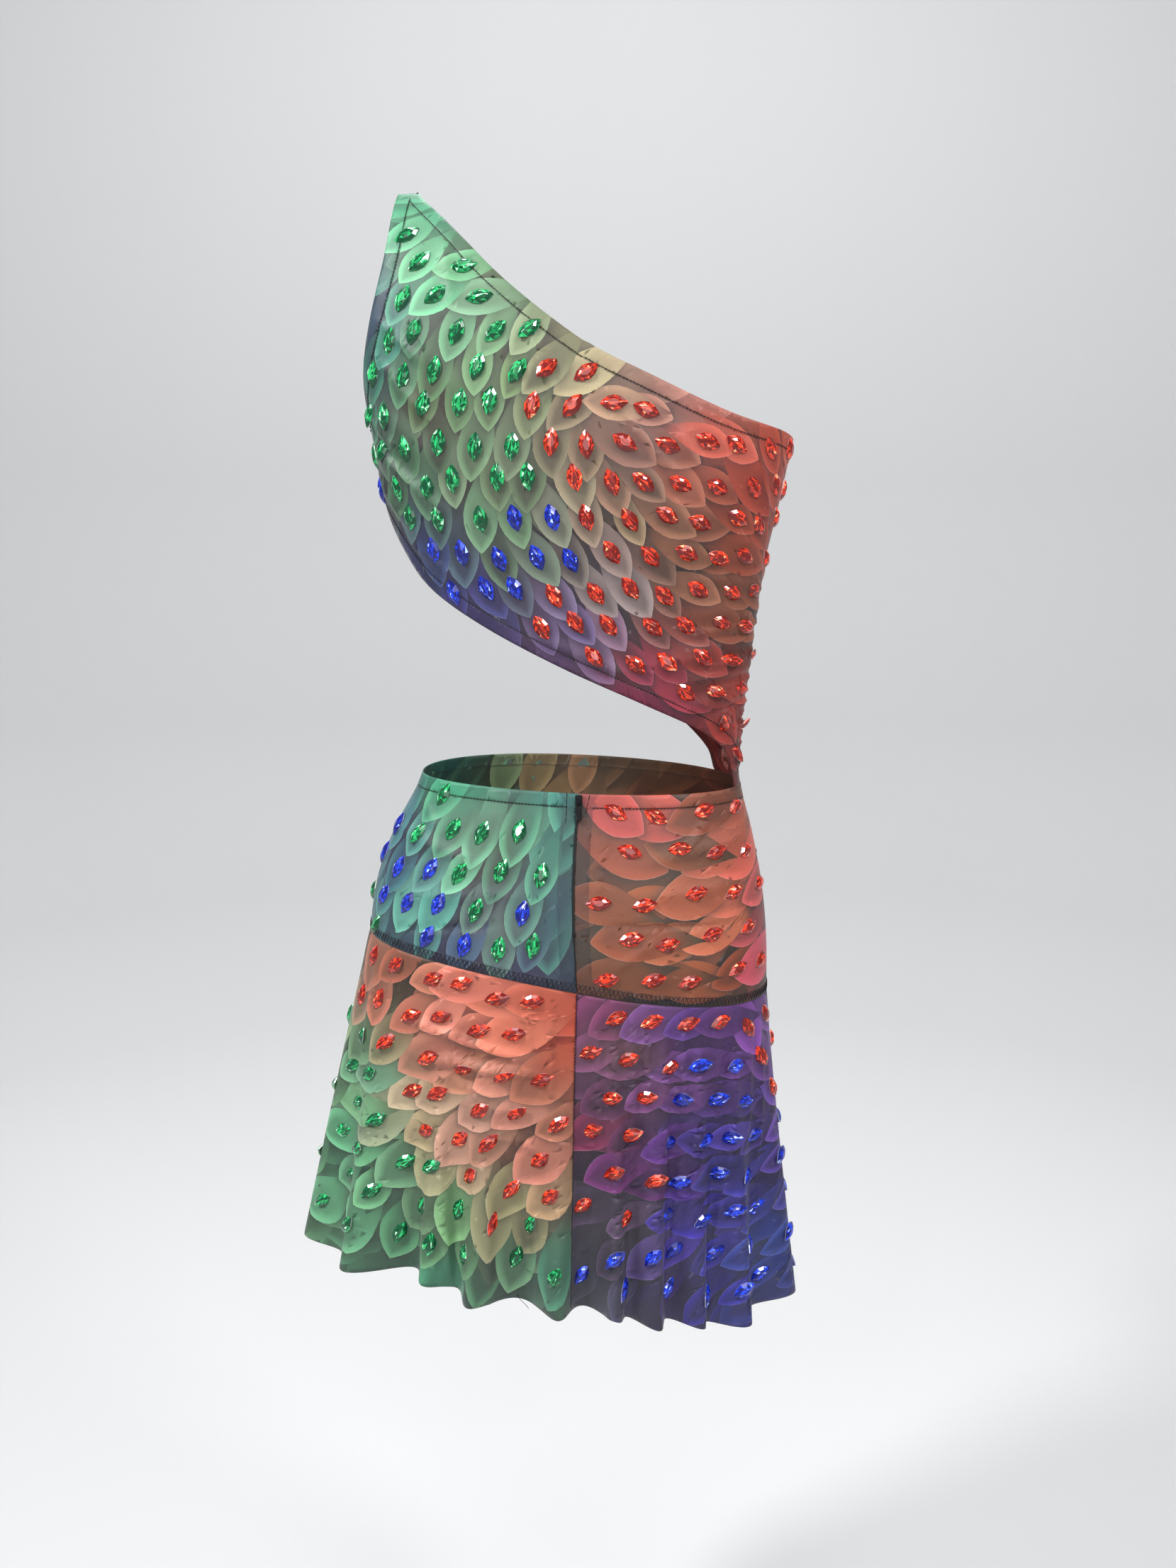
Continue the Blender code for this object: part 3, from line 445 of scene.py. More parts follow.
def yoke_outline(left, right, from_front, pitch=EDGE_PITCH, inset=SEAM_GAP / 2):
    """A hip-band panel between two seams, each given as a function of the tape down."""
    waist = lambda u: waist_down(u, from_front) + inset
    hip = lambda u: hip_down(u, from_front) - inset
    top = seam_line(meet(right, waist)[0], meet(left, waist)[0], lambda u: (u, waist(u)), pitch)
    foot = seam_line(meet(left, hip)[0], meet(right, hip)[0], lambda u: (u, hip(u)), pitch)
    down_left = seam_line(top[-1][1], foot[0][1], lambda v: (left(v), v), pitch)
    up_right = seam_line(foot[-1][1], top[0][1], lambda v: (right(v), v), pitch)
    return closed_outline(top, down_left, foot, up_right)


def hem_drop(around):
    """Length of the flounce at the hem, which runs a little uneven."""
    return DROP + 2.5 * MM * math.sin(around * 41) + 1.5 * MM * math.sin(around * 97 + 1)


def skirt_outline(left, right, rows):
    """A flounce panel; its hem and seam carry the same columns as the flutes."""
    inset = SEAM_GAP / 2
    columns = flute_columns(left, right, rows)
    top = np.array([(u, inset) for u in columns])
    foot = np.array([(u, hem_drop(u)) for u in reversed(columns)])
    down_left = seam_line(inset, hem_drop(left), lambda v: (left, v), 30 * MM)
    up_right = seam_line(hem_drop(right), inset, lambda v: (right, v), 30 * MM)
    return closed_outline(top, down_left, foot, up_right)


def flute_columns(left, right, rows):
    """Tape measures round where the flounce is folded: at each flute's crest, flanks and feet."""
    marks = {left, right}
    for centre, half_width, *_ in rows:
        for step in (-1.6, -1.0, -0.5, 0.0, 0.5, 1.0, 1.6):
            mark = (centre + step * half_width) * MM
            if right + FOLD_APART < mark < left - FOLD_APART:
                marks.add(mark)
    kept = []
    for mark in sorted(marks):
        if not kept or mark - kept[-1] >= FOLD_APART or mark == left:
            kept.append(mark)
    return kept


# Stones

def heading(around, down, flow):
    """Direction of the stones' tips at a place, blended from the rows of a flow table."""
    sine = cosine = 0.0
    for u, v, degrees in flow:
        weight = 1 / (((around / MM - u) ** 2 + (down / MM - v) ** 2) + FLOW_BLUR) ** FLOW_FALL
        sine += weight * math.sin(2 * math.radians(degrees))
        cosine += weight * math.cos(2 * math.radians(degrees))
    return math.atan2(sine, cosine) / 2


def to_outline(point, loop):
    """Distance from one point to the nearest edge of a loop, negative outside it."""
    return distance_inside(np.array([point]), np.asarray(loop))[0]


def stone_shape(u, v, lean, reach):
    """Outline and ridge of one marquise stone in tape measures, sized by the cloth's stretch there."""
    along, fall = reach
    axis = np.array((math.sin(lean), math.cos(lean)))
    cross = np.array((axis[1], -axis[0]))
    place = lambda a, b: (u + (a * axis[0] + b * cross[0]) / along, v + (a * axis[1] + b * cross[1]) / fall)
    long, wide = STONE_LONG / 2, STONE_WIDE / 2
    ring = [(long, 0), (0.45 * long, 0.78 * wide), (-0.45 * long, 0.78 * wide), (-long, 0)]
    ring += [(-0.45 * long, -0.78 * wide), (0.45 * long, -0.78 * wide)]
    return [place(a, b) for a, b in ring], [place(0.4 * long, 0), place(-0.4 * long, 0)]


ZIP_CLEAR, SLIDER_CLEAR, SLIDER_REACH = 13 * MM, 17 * MM, 0.035


def near_zip(u, v):
    return abs(u - centre_back(v)) < (SLIDER_CLEAR if v < WAIST_DOWN + SLIDER_REACH else ZIP_CLEAR)


def lay_stones(name, surface, loop, from_front, avoid=None):
    """A panel's stones, as places, rings and ridges: staggered uneven courses, clear of all edges."""
    pitch_round, pitch_down, unevenness, seed = STONES[name]
    draw = random.Random(seed)
    low, high = loop.min(axis=0), loop.max(axis=0)
    placed = []
    for course in range(int((high[1] - low[1]) / (pitch_down * MM)) + 1):
        shift = (course % 2) * pitch_round / 2
        for k in range(int((high[0] - low[0]) / (pitch_round * MM)) + 2):
            u = low[0] + (k * pitch_round + shift + draw.uniform(-1, 1) * unevenness) * MM
            v = low[1] + ((course + 0.5) * pitch_down + draw.uniform(-1, 1) * unevenness) * MM
            if to_outline((u, v), loop) < STONE_TO_EDGE or (avoid and avoid(u, v)):
                continue
            ring, crown = stone_shape(u, v, heading(u, v, FLOWS[name]), stretch(surface, u, v, from_front))
            near = [other for other in placed if math.dist((u, v), other[0]) < 2 * STONE_LONG]
            if clear_of(ring, loop, near):
                placed.append(((u, v), ring, crown))
    return placed


def clear_of(ring, loop, near):
    """Whether a stone's ring stays inside the panel and outside the rings near it."""
    if min(to_outline(p, loop) for p in ring) < RING_CLEAR:
        return False
    for _, other, _ in near:
        if max([to_outline(p, other) for p in ring] + [to_outline(p, ring) for p in other]) > -RING_CLEAR:
            return False
    return True


def stretch(place, u, v, from_front):
    """Real lengths of one unit round and one unit down."""
    step = 1.0 * MM
    one, at = np.array([u]), np.array([v])
    along = place(one + step, at, from_front) - place(one - step, at, from_front)
    fall = place(one, at + step, from_front) - place(one, np.maximum(at - step, 0), from_front)
    lengths = np.linalg.norm(along) / (2 * step), np.linalg.norm(fall) / (step + min(step, v))
    return max(lengths[0], 0.85), max(lengths[1], 0.85)


# Cloth, finer than the solids: folds listed in mm, as rows like those of the gathered folds

FINE_FOLDS = {
    "bodice_back": (
        (-70, 290, -150, 300, 2.1, 3.0), (-62, 332, -148, 322, 2.7, 2.6), (-74, 356, -140, 343, 2.8, 2.4),
        (-80, 375, -138, 362, 2.8, 2.2), (-92, 390, -138, 380, 3.2, 2.2), (-102, 402, -140, 396, 2.8, 2.0),
        (-108, 414, -142, 413, 2.7, 2.0), (-118, 428, -142, 427, 2.4, 1.8), (-40, 352, -96, 346, 2.0, 3.4),
        (168, 176, 128, 206, 2.7, 3.4), (170, 190, 96, 246, 2.8, 3.6), (168, 214, 120, 262, 2.1, 3.4),
        (150, 140, 104, 188, 2.1, 3.2), (144, 118, 110, 150, 1.7, 3.0), (134, 262, 92, 292, 2.0, 3.0),
        (-20, 176, -64, 226, 2.0, 4.0), (-56, 186, -88, 232, 2.1, 3.6), (-120, 202, -140, 250, 2.0, 3.4),
        (40, 122, 18, 176, 2.0, 4.2), (96, 60, 88, 112, 1.7, 4.0), (40, 330, -30, 360, 1.7, 3.4),
    ),
    "bodice_front": (
        (-60, 285, -165, 300, 2.4, 3.0), (-52, 324, -160, 320, 2.7, 2.8), (-66, 350, -152, 341, 2.8, 2.4),
        (-80, 374, -150, 360, 3.2, 2.4), (-92, 392, -150, 380, 3.2, 2.2), (-100, 408, -152, 398, 2.8, 2.0),
        (182, 186, 118, 232, 2.8, 3.6), (176, 206, 128, 250, 2.4, 3.4), (150, 140, 108, 184, 2.1, 3.4),
        (-20, 190, -70, 236, 2.0, 4.0), (-130, 206, -150, 252, 2.0, 3.4), (30, 150, 20, 210, 1.7, 4.2),
        (90, 290, 10, 330, 2.0, 3.4), (100, 60, 90, 116, 1.7, 4.0),
    ),
    "yoke_back_left": (
        (158, 470, 66, 492, 1.4, 4.5), (160, 546, 48, 533, -1.2, 1.6), (158, 520, 30, 512, 1.0, 4.2),
        (24, 450, 18, 520, 0.8, 3.0), (120, 452, 104, 470, 0.9, 3.0), (60, 452, 52, 476, 0.8, 3.0),
    ),
    "yoke_back_right": (
        (-158, 476, -60, 490, 1.4, 4.5), (-16, 532, -150, 540, -1.2, 1.6), (-156, 508, -50, 516, 1.0, 4.2),
        (-24, 452, -22, 512, 0.8, 3.0), (-100, 462, -84, 484, 1.2, 3.2), (-30, 566, -64, 545, 0.9, 3.6),
    ),
    "yoke_front": (
        (166, 470, 66, 486, 1.4, 4.5), (-166, 476, -60, 490, 1.4, 4.5), (150, 530, -150, 536, -0.9, 1.8),
        (40, 452, 30, 500, 0.8, 3.4), (-60, 452, -48, 486, 0.8, 3.4),
    ),
    "skirt_back_left": (
        (130, 50, 34, 58, 3.4, 3.8), (104, 64, 40, 66, -1.6, 2.8), (122, 78, 22, 69, 3.2, 3.4),
        (96, 88, 48, 92, 2.2, 3.4), (70, 104, 30, 98, 1.8, 3.2), (12, 4, 10, 90, 2.1, 3.0),
        (30, 3, 26, 46, 1.5, 2.6), (90, 3, 94, 40, 1.8, 3.0), (130, 3, 142, 84, 2.4, 3.2),
        (150, 3, 168, 110, 2.4, 3.4), (60, 120, 20, 128, 2.1, 3.2), (60, 130, 66, 248, 2.7, 4.2),
        (96, 120, 112, 248, 3.0, 4.4), (24, 150, 26, 248, 2.7, 4.2),
    ),
    "skirt_back_right": (
        (-22, 3, -26, 120, 2.2, 3.0), (-34, 3, -37, 88, 1.9, 2.6), (-48, 3, -54, 150, 2.4, 3.2),
        (-58, 3, -62, 80, 1.9, 2.6), (-72, 3, -80, 160, 2.6, 3.2), (-84, 3, -92, 92, 2.0, 2.8),
        (-98, 3, -110, 166, 2.6, 3.2), (-112, 3, -122, 96, 2.0, 2.8), (-126, 3, -142, 160, 2.4, 3.2),
        (-142, 3, -154, 110, 2.0, 2.8), (-156, 3, -172, 130, 2.0, 2.8), (-40, 90, -48, 248, 2.7, 4.0),
        (-92, 100, -112, 248, 3.0, 4.4), (-128, 110, -160, 248, 3.0, 4.4),
    ),
    "skirt_front": tuple(
        (u, 3, u * 1.06, length, rise, 2.6)
        for u, length, rise in (
            (-170, 120, 1.9), (-148, 84, 1.7), (-130, 148, 2.2), (-108, 90, 1.8), (-88, 164, 2.3),
            (-66, 86, 1.7), (-44, 140, 2.0), (-20, 92, 1.7), (4, 150, 2.2), (28, 88, 1.7),
            (52, 142, 2.1), (78, 82, 1.7), (100, 152, 2.2), (124, 90, 1.8), (146, 130, 2.0),
            (168, 86, 1.7),
        )
    ),
}

# Colours of the print, 0 to 255: one row for each place where they change.
# round, down (from the hip seam on the flounce), ground red, green, blue, petal red, green, blue
TONES = {
    "bodice_back": (
        (118, 30, 50, 120, 88, 116, 196, 150), (100, 95, 62, 104, 74, 122, 192, 146),
        (142, 110, 38, 58, 76, 74, 150, 128), (148, 150, 34, 44, 66, 62, 122, 104),
        (60, 98, 80, 92, 64, 128, 174, 132), (88, 135, 68, 82, 60, 116, 172, 126),
        (108, 180, 72, 62, 48, 96, 126, 86), (56, 165, 76, 78, 56, 128, 160, 116),
        (14, 152, 102, 100, 76, 176, 168, 134), (-16, 175, 122, 98, 84, 204, 168, 140),
        (-84, 208, 160, 84, 72, 206, 108, 90), (-138, 235, 166, 68, 52, 200, 86, 70),
        (-52, 192, 146, 96, 88, 194, 132, 116), (-64, 275, 84, 58, 42, 172, 122, 96),
        (-92, 350, 112, 46, 36, 168, 72, 64), (-28, 240, 72, 62, 52, 184, 152, 126),
        (60, 268, 70, 64, 70, 128, 164, 126), (64, 230, 76, 76, 60, 140, 172, 130),
        (134, 215, 42, 48, 52, 84, 124, 92), (118, 285, 36, 38, 78, 62, 82, 128),
        (80, 305, 50, 40, 80, 74, 74, 140), (16, 326, 72, 46, 82, 142, 122, 172),
        (-48, 372, 104, 30, 56, 172, 58, 78), (-112, 315, 92, 56, 36, 144, 86, 62),
        (-120, 390, 130, 44, 40, 176, 72, 62), (-132, 432, 84, 28, 30, 150, 56, 50),
        (-20, 288, 78, 66, 72, 168, 152, 142), (-120, 262, 128, 62, 42, 190, 92, 72),
    ),
    "bodice_front": (
        (118, 30, 50, 120, 88, 116, 196, 150), (100, 95, 60, 90, 90, 110, 180, 150),
        (150, 130, 38, 52, 76, 74, 140, 128), (90, 170, 70, 84, 60, 120, 172, 126),
        (20, 150, 110, 104, 78, 186, 176, 140), (-50, 190, 146, 92, 82, 200, 136, 116),
        (-120, 220, 164, 72, 56, 204, 92, 76), (170, 220, 40, 46, 64, 76, 116, 110),
        (100, 250, 70, 66, 66, 128, 160, 128), (20, 250, 78, 64, 60, 176, 150, 128),
        (-60, 270, 92, 60, 46, 178, 118, 94), (-150, 290, 110, 54, 42, 168, 80, 66),
        (120, 285, 38, 38, 78, 66, 84, 132), (40, 320, 66, 44, 80, 130, 112, 166),
        (-40, 365, 100, 32, 54, 170, 62, 78), (-120, 390, 126, 44, 40, 174, 70, 62),
    ),
    "yoke_back_left": (
        (96, 445, 46, 116, 88, 112, 192, 150), (62, 480, 72, 76, 66, 118, 184, 142),
        (144, 490, 40, 54, 92, 74, 128, 134), (8, 470, 46, 104, 96, 104, 182, 150),
        (8, 530, 44, 82, 92, 92, 158, 140), (48, 540, 82, 70, 82, 118, 156, 122),
        (106, 530, 54, 84, 96, 104, 168, 150), (84, 562, 46, 44, 78, 62, 74, 118),
        (36, 560, 60, 60, 96, 84, 110, 140),
    ),
    "yoke_back_right": (
        (-14, 480, 84, 56, 38, 116, 70, 46), (-44, 455, 92, 64, 44, 204, 94, 92),
        (-96, 452, 98, 58, 42, 138, 70, 52), (-128, 490, 82, 64, 48, 232, 120, 104),
        (-64, 505, 92, 72, 50, 172, 92, 56), (-90, 480, 78, 70, 54, 150, 90, 62),
        (-100, 540, 84, 76, 56, 200, 120, 94), (-160, 555, 100, 56, 56, 212, 96, 118),
        (-34, 565, 80, 66, 46, 134, 78, 50), (-120, 572, 84, 60, 44, 150, 80, 50),
    ),
    "yoke_front": (
        (140, 455, 50, 100, 92, 110, 186, 150), (140, 550, 46, 60, 92, 86, 130, 140),
        (60, 500, 74, 78, 62, 124, 172, 130), (0, 460, 92, 76, 58, 176, 130, 96),
        (0, 550, 84, 70, 64, 160, 130, 100), (-70, 500, 108, 76, 54, 190, 104, 74),
        (-150, 470, 104, 64, 48, 214, 106, 88), (-150, 560, 110, 58, 60, 200, 88, 108),
    ),
    "skirt_back_left": (
        (54, 24, 214, 116, 96, 238, 142, 120), (2, 30, 206, 86, 64, 232, 116, 92),
        (124, 26, 96, 78, 58, 206, 118, 98), (86, 62, 196, 118, 100, 236, 160, 138),
        (110, 108, 148, 140, 106, 228, 200, 166), (66, 120, 170, 128, 108, 222, 172, 148),
        (16, 128, 140, 92, 74, 220, 142, 122), (150, 100, 66, 96, 70, 124, 180, 138),
        (150, 165, 56, 98, 74, 120, 190, 144), (132, 206, 62, 106, 78, 128, 198, 150),
        (76, 205, 66, 88, 60, 140, 184, 134), (30, 190, 92, 92, 70, 172, 160, 124),
        (36, 238, 56, 76, 64, 116, 172, 134), (6, 220, 60, 96, 84, 112, 182, 150),
        (80, 246, 58, 118, 92, 112, 196, 154),
    ),
    "skirt_back_right": (
        (-26, 10, 126, 66, 104, 170, 90, 130), (-40, 36, 110, 84, 82, 146, 96, 132),
        (-84, 18, 92, 56, 118, 124, 88, 176), (-136, 22, 96, 60, 124, 150, 92, 182),
        (-60, 64, 84, 62, 90, 130, 76, 130), (-28, 100, 72, 46, 62, 146, 60, 96),
        (-60, 120, 62, 42, 82, 128, 54, 128), (-98, 110, 54, 40, 104, 88, 68, 168),
        (-136, 130, 44, 38, 96, 82, 78, 186), (-40, 180, 56, 50, 60, 100, 84, 104),
        (-76, 220, 50, 40, 84, 96, 64, 150), (-112, 220, 42, 38, 104, 74, 70, 176),
        (-156, 200, 44, 56, 120, 80, 98, 184), (-168, 110, 58, 44, 94, 116, 84, 176),
        (-24, 236, 62, 60, 74, 100, 106, 122), (-96, 168, 46, 40, 96, 76, 64, 180),
    ),
    "skirt_front": (
        (164, 40, 30, 74, 72, 66, 148, 122), (164, 130, 28, 66, 92, 60, 132, 146),
        (160, 220, 34, 58, 112, 66, 104, 168), (90, 50, 66, 104, 78, 126, 186, 146),
        (90, 190, 52, 88, 108, 92, 152, 170), (20, 40, 150, 92, 78, 214, 132, 112),
        (20, 140, 120, 96, 84, 200, 150, 130), (20, 230, 66, 84, 92, 120, 160, 150),
        (-60, 50, 122, 68, 92, 190, 100, 124), (-60, 190, 62, 50, 104, 110, 84, 176),
        (-164, 40, 124, 62, 104, 186, 92, 140), (-164, 120, 84, 50, 110, 140, 84, 176),
        (-164, 215, 62, 84, 140, 112, 150, 198),
    ),
}
TONE_BLUR, TONE_FALL, TONE_LIFT = 90, 1.7, 0.14

# Colours of the stones, in mm: the nearest place decides. round, down
STONE_ZONES = {
    "bodice_back": {
        "green": (
            (115, 40), (90, 110), (130, 150), (52, 140), (92, 200), (56, 215), (118, 236), (66, 246),
        ),
        "red": (
            (12, 160), (10, 205), (0, 240), (-60, 210), (-130, 250), (-20, 300), (22, 330), (-60, 360),
            (-110, 340), (-130, 430),
        ),
        "blue": ((140, 262), (112, 284), (84, 300), (52, 300), (30, 264)),
    },
    "bodice_front": {
        "green": ((115, 40), (90, 120), (150, 170), (60, 190), (110, 235)),
        "red": ((10, 200), (20, 270), (-80, 250), (0, 340), (-100, 360), (-100, 200)),
        "blue": ((170, 250), (110, 288), (50, 300)),
    },
    "yoke_back_left": {
        "green": (
            (110, 450), (40, 455), (70, 485), (20, 495), (130, 462), (64, 520), (30, 556), (148, 545),
        ),
        "blue": ((152, 470), (112, 500), (138, 515), (94, 540), (44, 526), (10, 522)),
    },
    "yoke_back_right": {
        "red": ((-80, 500),),
    },
    "yoke_front": {
        "green": ((120, 460), (50, 500)),
        "red": ((-60, 500),),
        "blue": ((120, 540),),
    },
    "skirt_back_left": {
        "green": (
            (156, 80), (150, 130), (128, 160), (98, 176), (100, 220), (60, 214), (24, 216), (8, 190),
        ),
        "red": (
            (40, 30), (110, 24), (150, 20), (124, 60), (60, 80), (20, 90), (100, 112), (64, 130),
            (20, 150), (44, 176),
        ),
    },
    "skirt_back_right": {
        "red": (
            (-26, 16), (-50, 46), (-24, 70), (-30, 110), (-54, 112), (-36, 150), (-140, 14), (-158, 40),
        ),
        "blue": (
            (-92, 70), (-124, 70), (-84, 120), (-130, 130), (-66, 168), (-100, 180), (-150, 190),
            (-30, 200), (-60, 230), (-100, 230),
        ),
    },
    "skirt_front": {
        "green": ((170, 50), (150, 120), (90, 60), (70, 180)),
        "red": ((20, 60), (10, 160), (-60, 60), (-150, 30)),
        "blue": ((168, 170), (160, 230), (-60, 190), (-168, 110), (-150, 200)),
    },
}

# Points measured at once
BLOCK = 4000


def distance_inside(points, loop):
    """Distance from each point to a loop's nearest edge, negative outside it."""
    ends = np.roll(loop, -1, axis=0)
    run = ends - loop
    length = np.maximum((run**2).sum(axis=1), 1e-12)
    found = np.empty(len(points))
    for first in range(0, len(points), BLOCK):
        part = points[first : first + BLOCK]
        off = part[:, None, :] - loop[None]
        share = np.clip((off * run).sum(axis=2) / length, 0, 1)
        gap = np.sqrt(((off - run * share[..., None]) ** 2).sum(axis=2).min(axis=1))
        crosses = (loop[:, 1] > part[:, 1:]) != (ends[:, 1] > part[:, 1:])
        at = loop[:, 0] + off[..., 1] / np.where(run[:, 1] == 0, 1, run[:, 1]) * run[:, 0]
        odd = (crosses & (at > part[:, :1])).sum(axis=1) % 2
        found[first : first + BLOCK] = np.where(odd == 1, gap, -gap)
    return found


def distance_to_line(points, line):
    """Distance from each point to an open line."""
    run = line[1:] - line[:-1]
    length = np.maximum((run**2).sum(axis=1), 1e-12)
    found = np.empty(len(points))
    for first in range(0, len(points), BLOCK):
        off = points[first : first + BLOCK, None, :] - line[None, :-1]
        share = np.clip((off * run).sum(axis=2) / length, 0, 1)
        found[first : first + BLOCK] = np.sqrt(((off - run * share[..., None]) ** 2).sum(axis=2).min(axis=1))
    return found


class Flat:
    """The flounce laid flat: length round along the flutes at each drop, from centre back or front."""

    def __init__(self, from_front):
        self.around = np.linspace(-0.25, 0.25, 1001)
        self.drop = np.linspace(0, DROP + 6 * MM, 16)
        points = skirt_surface(self.around[None, :], self.drop[:, None], from_front)
        steps = np.linalg.norm(np.diff(points, axis=1), axis=2)
        run = np.concatenate([np.zeros((len(self.drop), 1)), np.cumsum(steps, axis=1)], axis=1)
        self.run = run - run[:, 500:501]

    def read(self, places, drop, look):
        """Values at places round and drops, between the rows above and below; look reads one row."""
        places, drop = np.broadcast_arrays(np.asarray(places, float), np.asarray(drop, float))
        at = np.clip(drop / self.drop[1], 0, len(self.drop) - 1.001)
        k, part = at.astype(int), at - at.astype(int)
        found = np.zeros(k.shape)
        for row in np.unique(k):
            here = k == row
            low, high = look(places[here], row), look(places[here], row + 1)
            found[here] = low + (high - low) * part[here]
        return found

    def length(self, around, drop):
        """Length round, from the tape at the seam and the drop."""
        return self.read(around, drop, lambda at, row: np.interp(at, self.around, self.run[row]))

    def tape(self, length, drop):
        """Tape at the seam, from the length round and the drop."""
        return self.read(length, drop, lambda at, row: np.interp(at, self.run[row], self.around))


FLAT_BACK, FLAT_FRONT = Flat(False), Flat(True)


def flounce(length, drop, from_front):
    """Points of the flounce from its flat lengths."""
    flat = FLAT_FRONT if from_front else FLAT_BACK
    drop = np.maximum(drop, 0)
    return skirt_surface(flat.tape(length, drop), drop, from_front)


def folded(place, folds):
    """The place function with the fine folds raised on it."""
    def on_cloth(around, down, from_front):
        around, down = np.broadcast_arrays(np.asarray(around, float), np.asarray(down, float))
        rise = ridges(around, down, folds)
        return place(around, down, from_front) + rise[..., None] * outward(place, around, down, from_front)
    return on_cloth


# Print: petals that taper to a root and lie over each other like scales, one under each stone

PETAL_ROOT, PETAL_TIP, PETAL_WIDE = 42 * MM, 21 * MM, 11.2 * MM
ROOT_POWER, TIP_POWER = 1.7, 0.92
WIDEST = ROOT_POWER / (ROOT_POWER + TIP_POWER)
FULL = 1 / (WIDEST**ROOT_POWER * (1 - WIDEST) ** TIP_POWER)
HEM_TURN = 9.5 * MM
PETALS_APART = 15.5 * MM
# How far a petal may bend, in mm, and lean, in radians
PETAL_BEND, PETAL_LEAN = 15, 0.2
# The same for the plain petals between the stones, with their sizes
PLAIN_BEND, PLAIN_LEAN, PLAIN_SIZES = 30, 0.3, (1.3, 2.3)
PETAL_REACH, SHADE_FADE = 110 * MM, 4.2 * MM


def petal_width(share):
    """Half width of a petal from its root, 0, to its tip, 1, as a share of its widest."""
    share = np.clip(share, 0, 1)
    return FULL * share**ROOT_POWER * (1 - share) ** TIP_POWER


class Petal:
    """One petal of the print, curved and tapered to its root."""

    def __init__(self, at, lean, size, bend, strength, shade):
        self.at, self.size, self.bend, self.strength, self.shade = np.array(at), size, bend, strength, shade
        self.axis = np.array((math.sin(lean), math.cos(lean)))
        self.cross = np.array((self.axis[1], -self.axis[0]))
        self.middle = PETAL_ROOT / (PETAL_ROOT + PETAL_TIP)

    def curve(self, share):
        return self.bend * ((1 - share) ** 2 - (1 - self.middle) ** 2)

    def outline(self):
        share = np.array((0.06, 0.14, 0.24, 0.34, 0.44, 0.54, 0.63, 0.72, 0.8, 0.87, 0.93, 0.975))
        half = petal_width(share) * PETAL_WIDE * self.size
        along = (share * (PETAL_ROOT + PETAL_TIP) - PETAL_ROOT) * self.size
        centre = self.at + along[:, None] * self.axis + self.curve(share)[:, None] * self.cross
        tip = self.at + PETAL_TIP * self.size * self.axis + self.curve(1.0) * self.cross
        left, right = centre + half[:, None] * self.cross, centre - half[:, None] * self.cross
        return np.vstack([left, tip[None], right[::-1]])

    def local(self, points):
        """Share along the petal and distance across its curved middle line, for each point."""
        off = points - self.at
        share = (off @ self.axis / self.size + PETAL_ROOT) / (PETAL_ROOT + PETAL_TIP)
        return share, (off @ self.cross - self.curve(np.clip(share, -0.2, 1.2))) / self.size


def tones(around, down, rows):
    """Colours of the ground and of the petals at each place, blended from the rows of a tone table."""
    table = np.array(rows, float)
    off_round = np.asarray(around)[:, None] / MM - table[:, 0]
    off_down = np.asarray(down)[:, None] / MM - table[:, 1]
    weight = 1 / (off_round**2 + off_down**2 + TONE_BLUR) ** TONE_FALL
    blend = weight @ table[:, 2:] / weight.sum(axis=1, keepdims=True)
    colour = ((blend / 255 + 0.055) / 1.055) ** 2.4
    for part in (colour[:, :3], colour[:, 3:]):
        part += (part - part.mean(axis=1, keepdims=True)) * TONE_LIFT
    return np.clip(colour[:, :3], 0.003, 1), np.clip(colour[:, 3:], 0.003, 1)


def stone_colour(around, down, zones):
    place = (around / MM, down / MM)
    return min(zones, key=lambda colour: min(math.dist(place, spot) for spot in zones[colour]))


def lay_petals(stones, loop, flow, flat, seed, sizes, strengths):
    """Petals from the lowest up: plain ones between the stones, then one under each stone."""
    draw = random.Random(seed)
    placed = []
    for (u, v), lean in stones:
        size, bend = draw.uniform(*sizes), draw.uniform(-PETAL_BEND, PETAL_BEND) * MM
        lean += draw.uniform(-PETAL_LEAN, PETAL_LEAN)
        strength, shade = draw.uniform(*strengths), draw.uniform(0.25, 1.0)
        placed.append((v, Petal((u, v), lean, size, bend, strength, shade)))
    low, high = loop.min(axis=0), loop.max(axis=0)
    between = []
    for _ in range(len(stones) * 6):
        at = np.array((draw.uniform(low[0], high[0]), draw.uniform(low[1], high[1])))
        near = np.hypot(*(np.array([spot for spot, _ in stones] + between) - at).T).min()
        if near > PETALS_APART and to_outline(at, loop) > -8 * MM:
            between.append(at)
            u, v = at
            lean = heading(flat.tape(u, v) if flat else u, v, flow) + draw.uniform(-PLAIN_LEAN, PLAIN_LEAN)
            strength = draw.uniform(0.05, 0.5) * strengths[1]
            size, bend = draw.uniform(*PLAIN_SIZES), draw.uniform(-PLAIN_BEND, PLAIN_BEND) * MM
            petal = Petal(at, lean, size, bend, strength, strength)
            # An order below 0 puts the plain petals first.
            placed.append((v - 1.0, petal))
    placed.sort(key=lambda pair: pair[0], reverse=True)
    return [p for order, p in placed if order < 0] + [p for order, p in placed if order >= 0]


def points_in(loop, pitch, seed):
    """Staggered points inside a loop, a little uneven."""
    low, high = loop.min(axis=0), loop.max(axis=0)
    columns, rows = np.arange(low[0], high[0], pitch[0]), np.arange(low[1], high[1], pitch[1])
    u, v = np.meshgrid(columns, rows)
    u = u + (np.arange(len(rows)) % 2)[:, None] * pitch[0] / 2
    draw = np.random.default_rng(seed)
    found = np.stack([u.ravel(), v.ravel()], axis=1)
    found = found + draw.uniform(-0.12, 0.12, found.shape) * np.array(pitch)
    return found[distance_inside(found, loop) > 0.35 * min(pitch)]


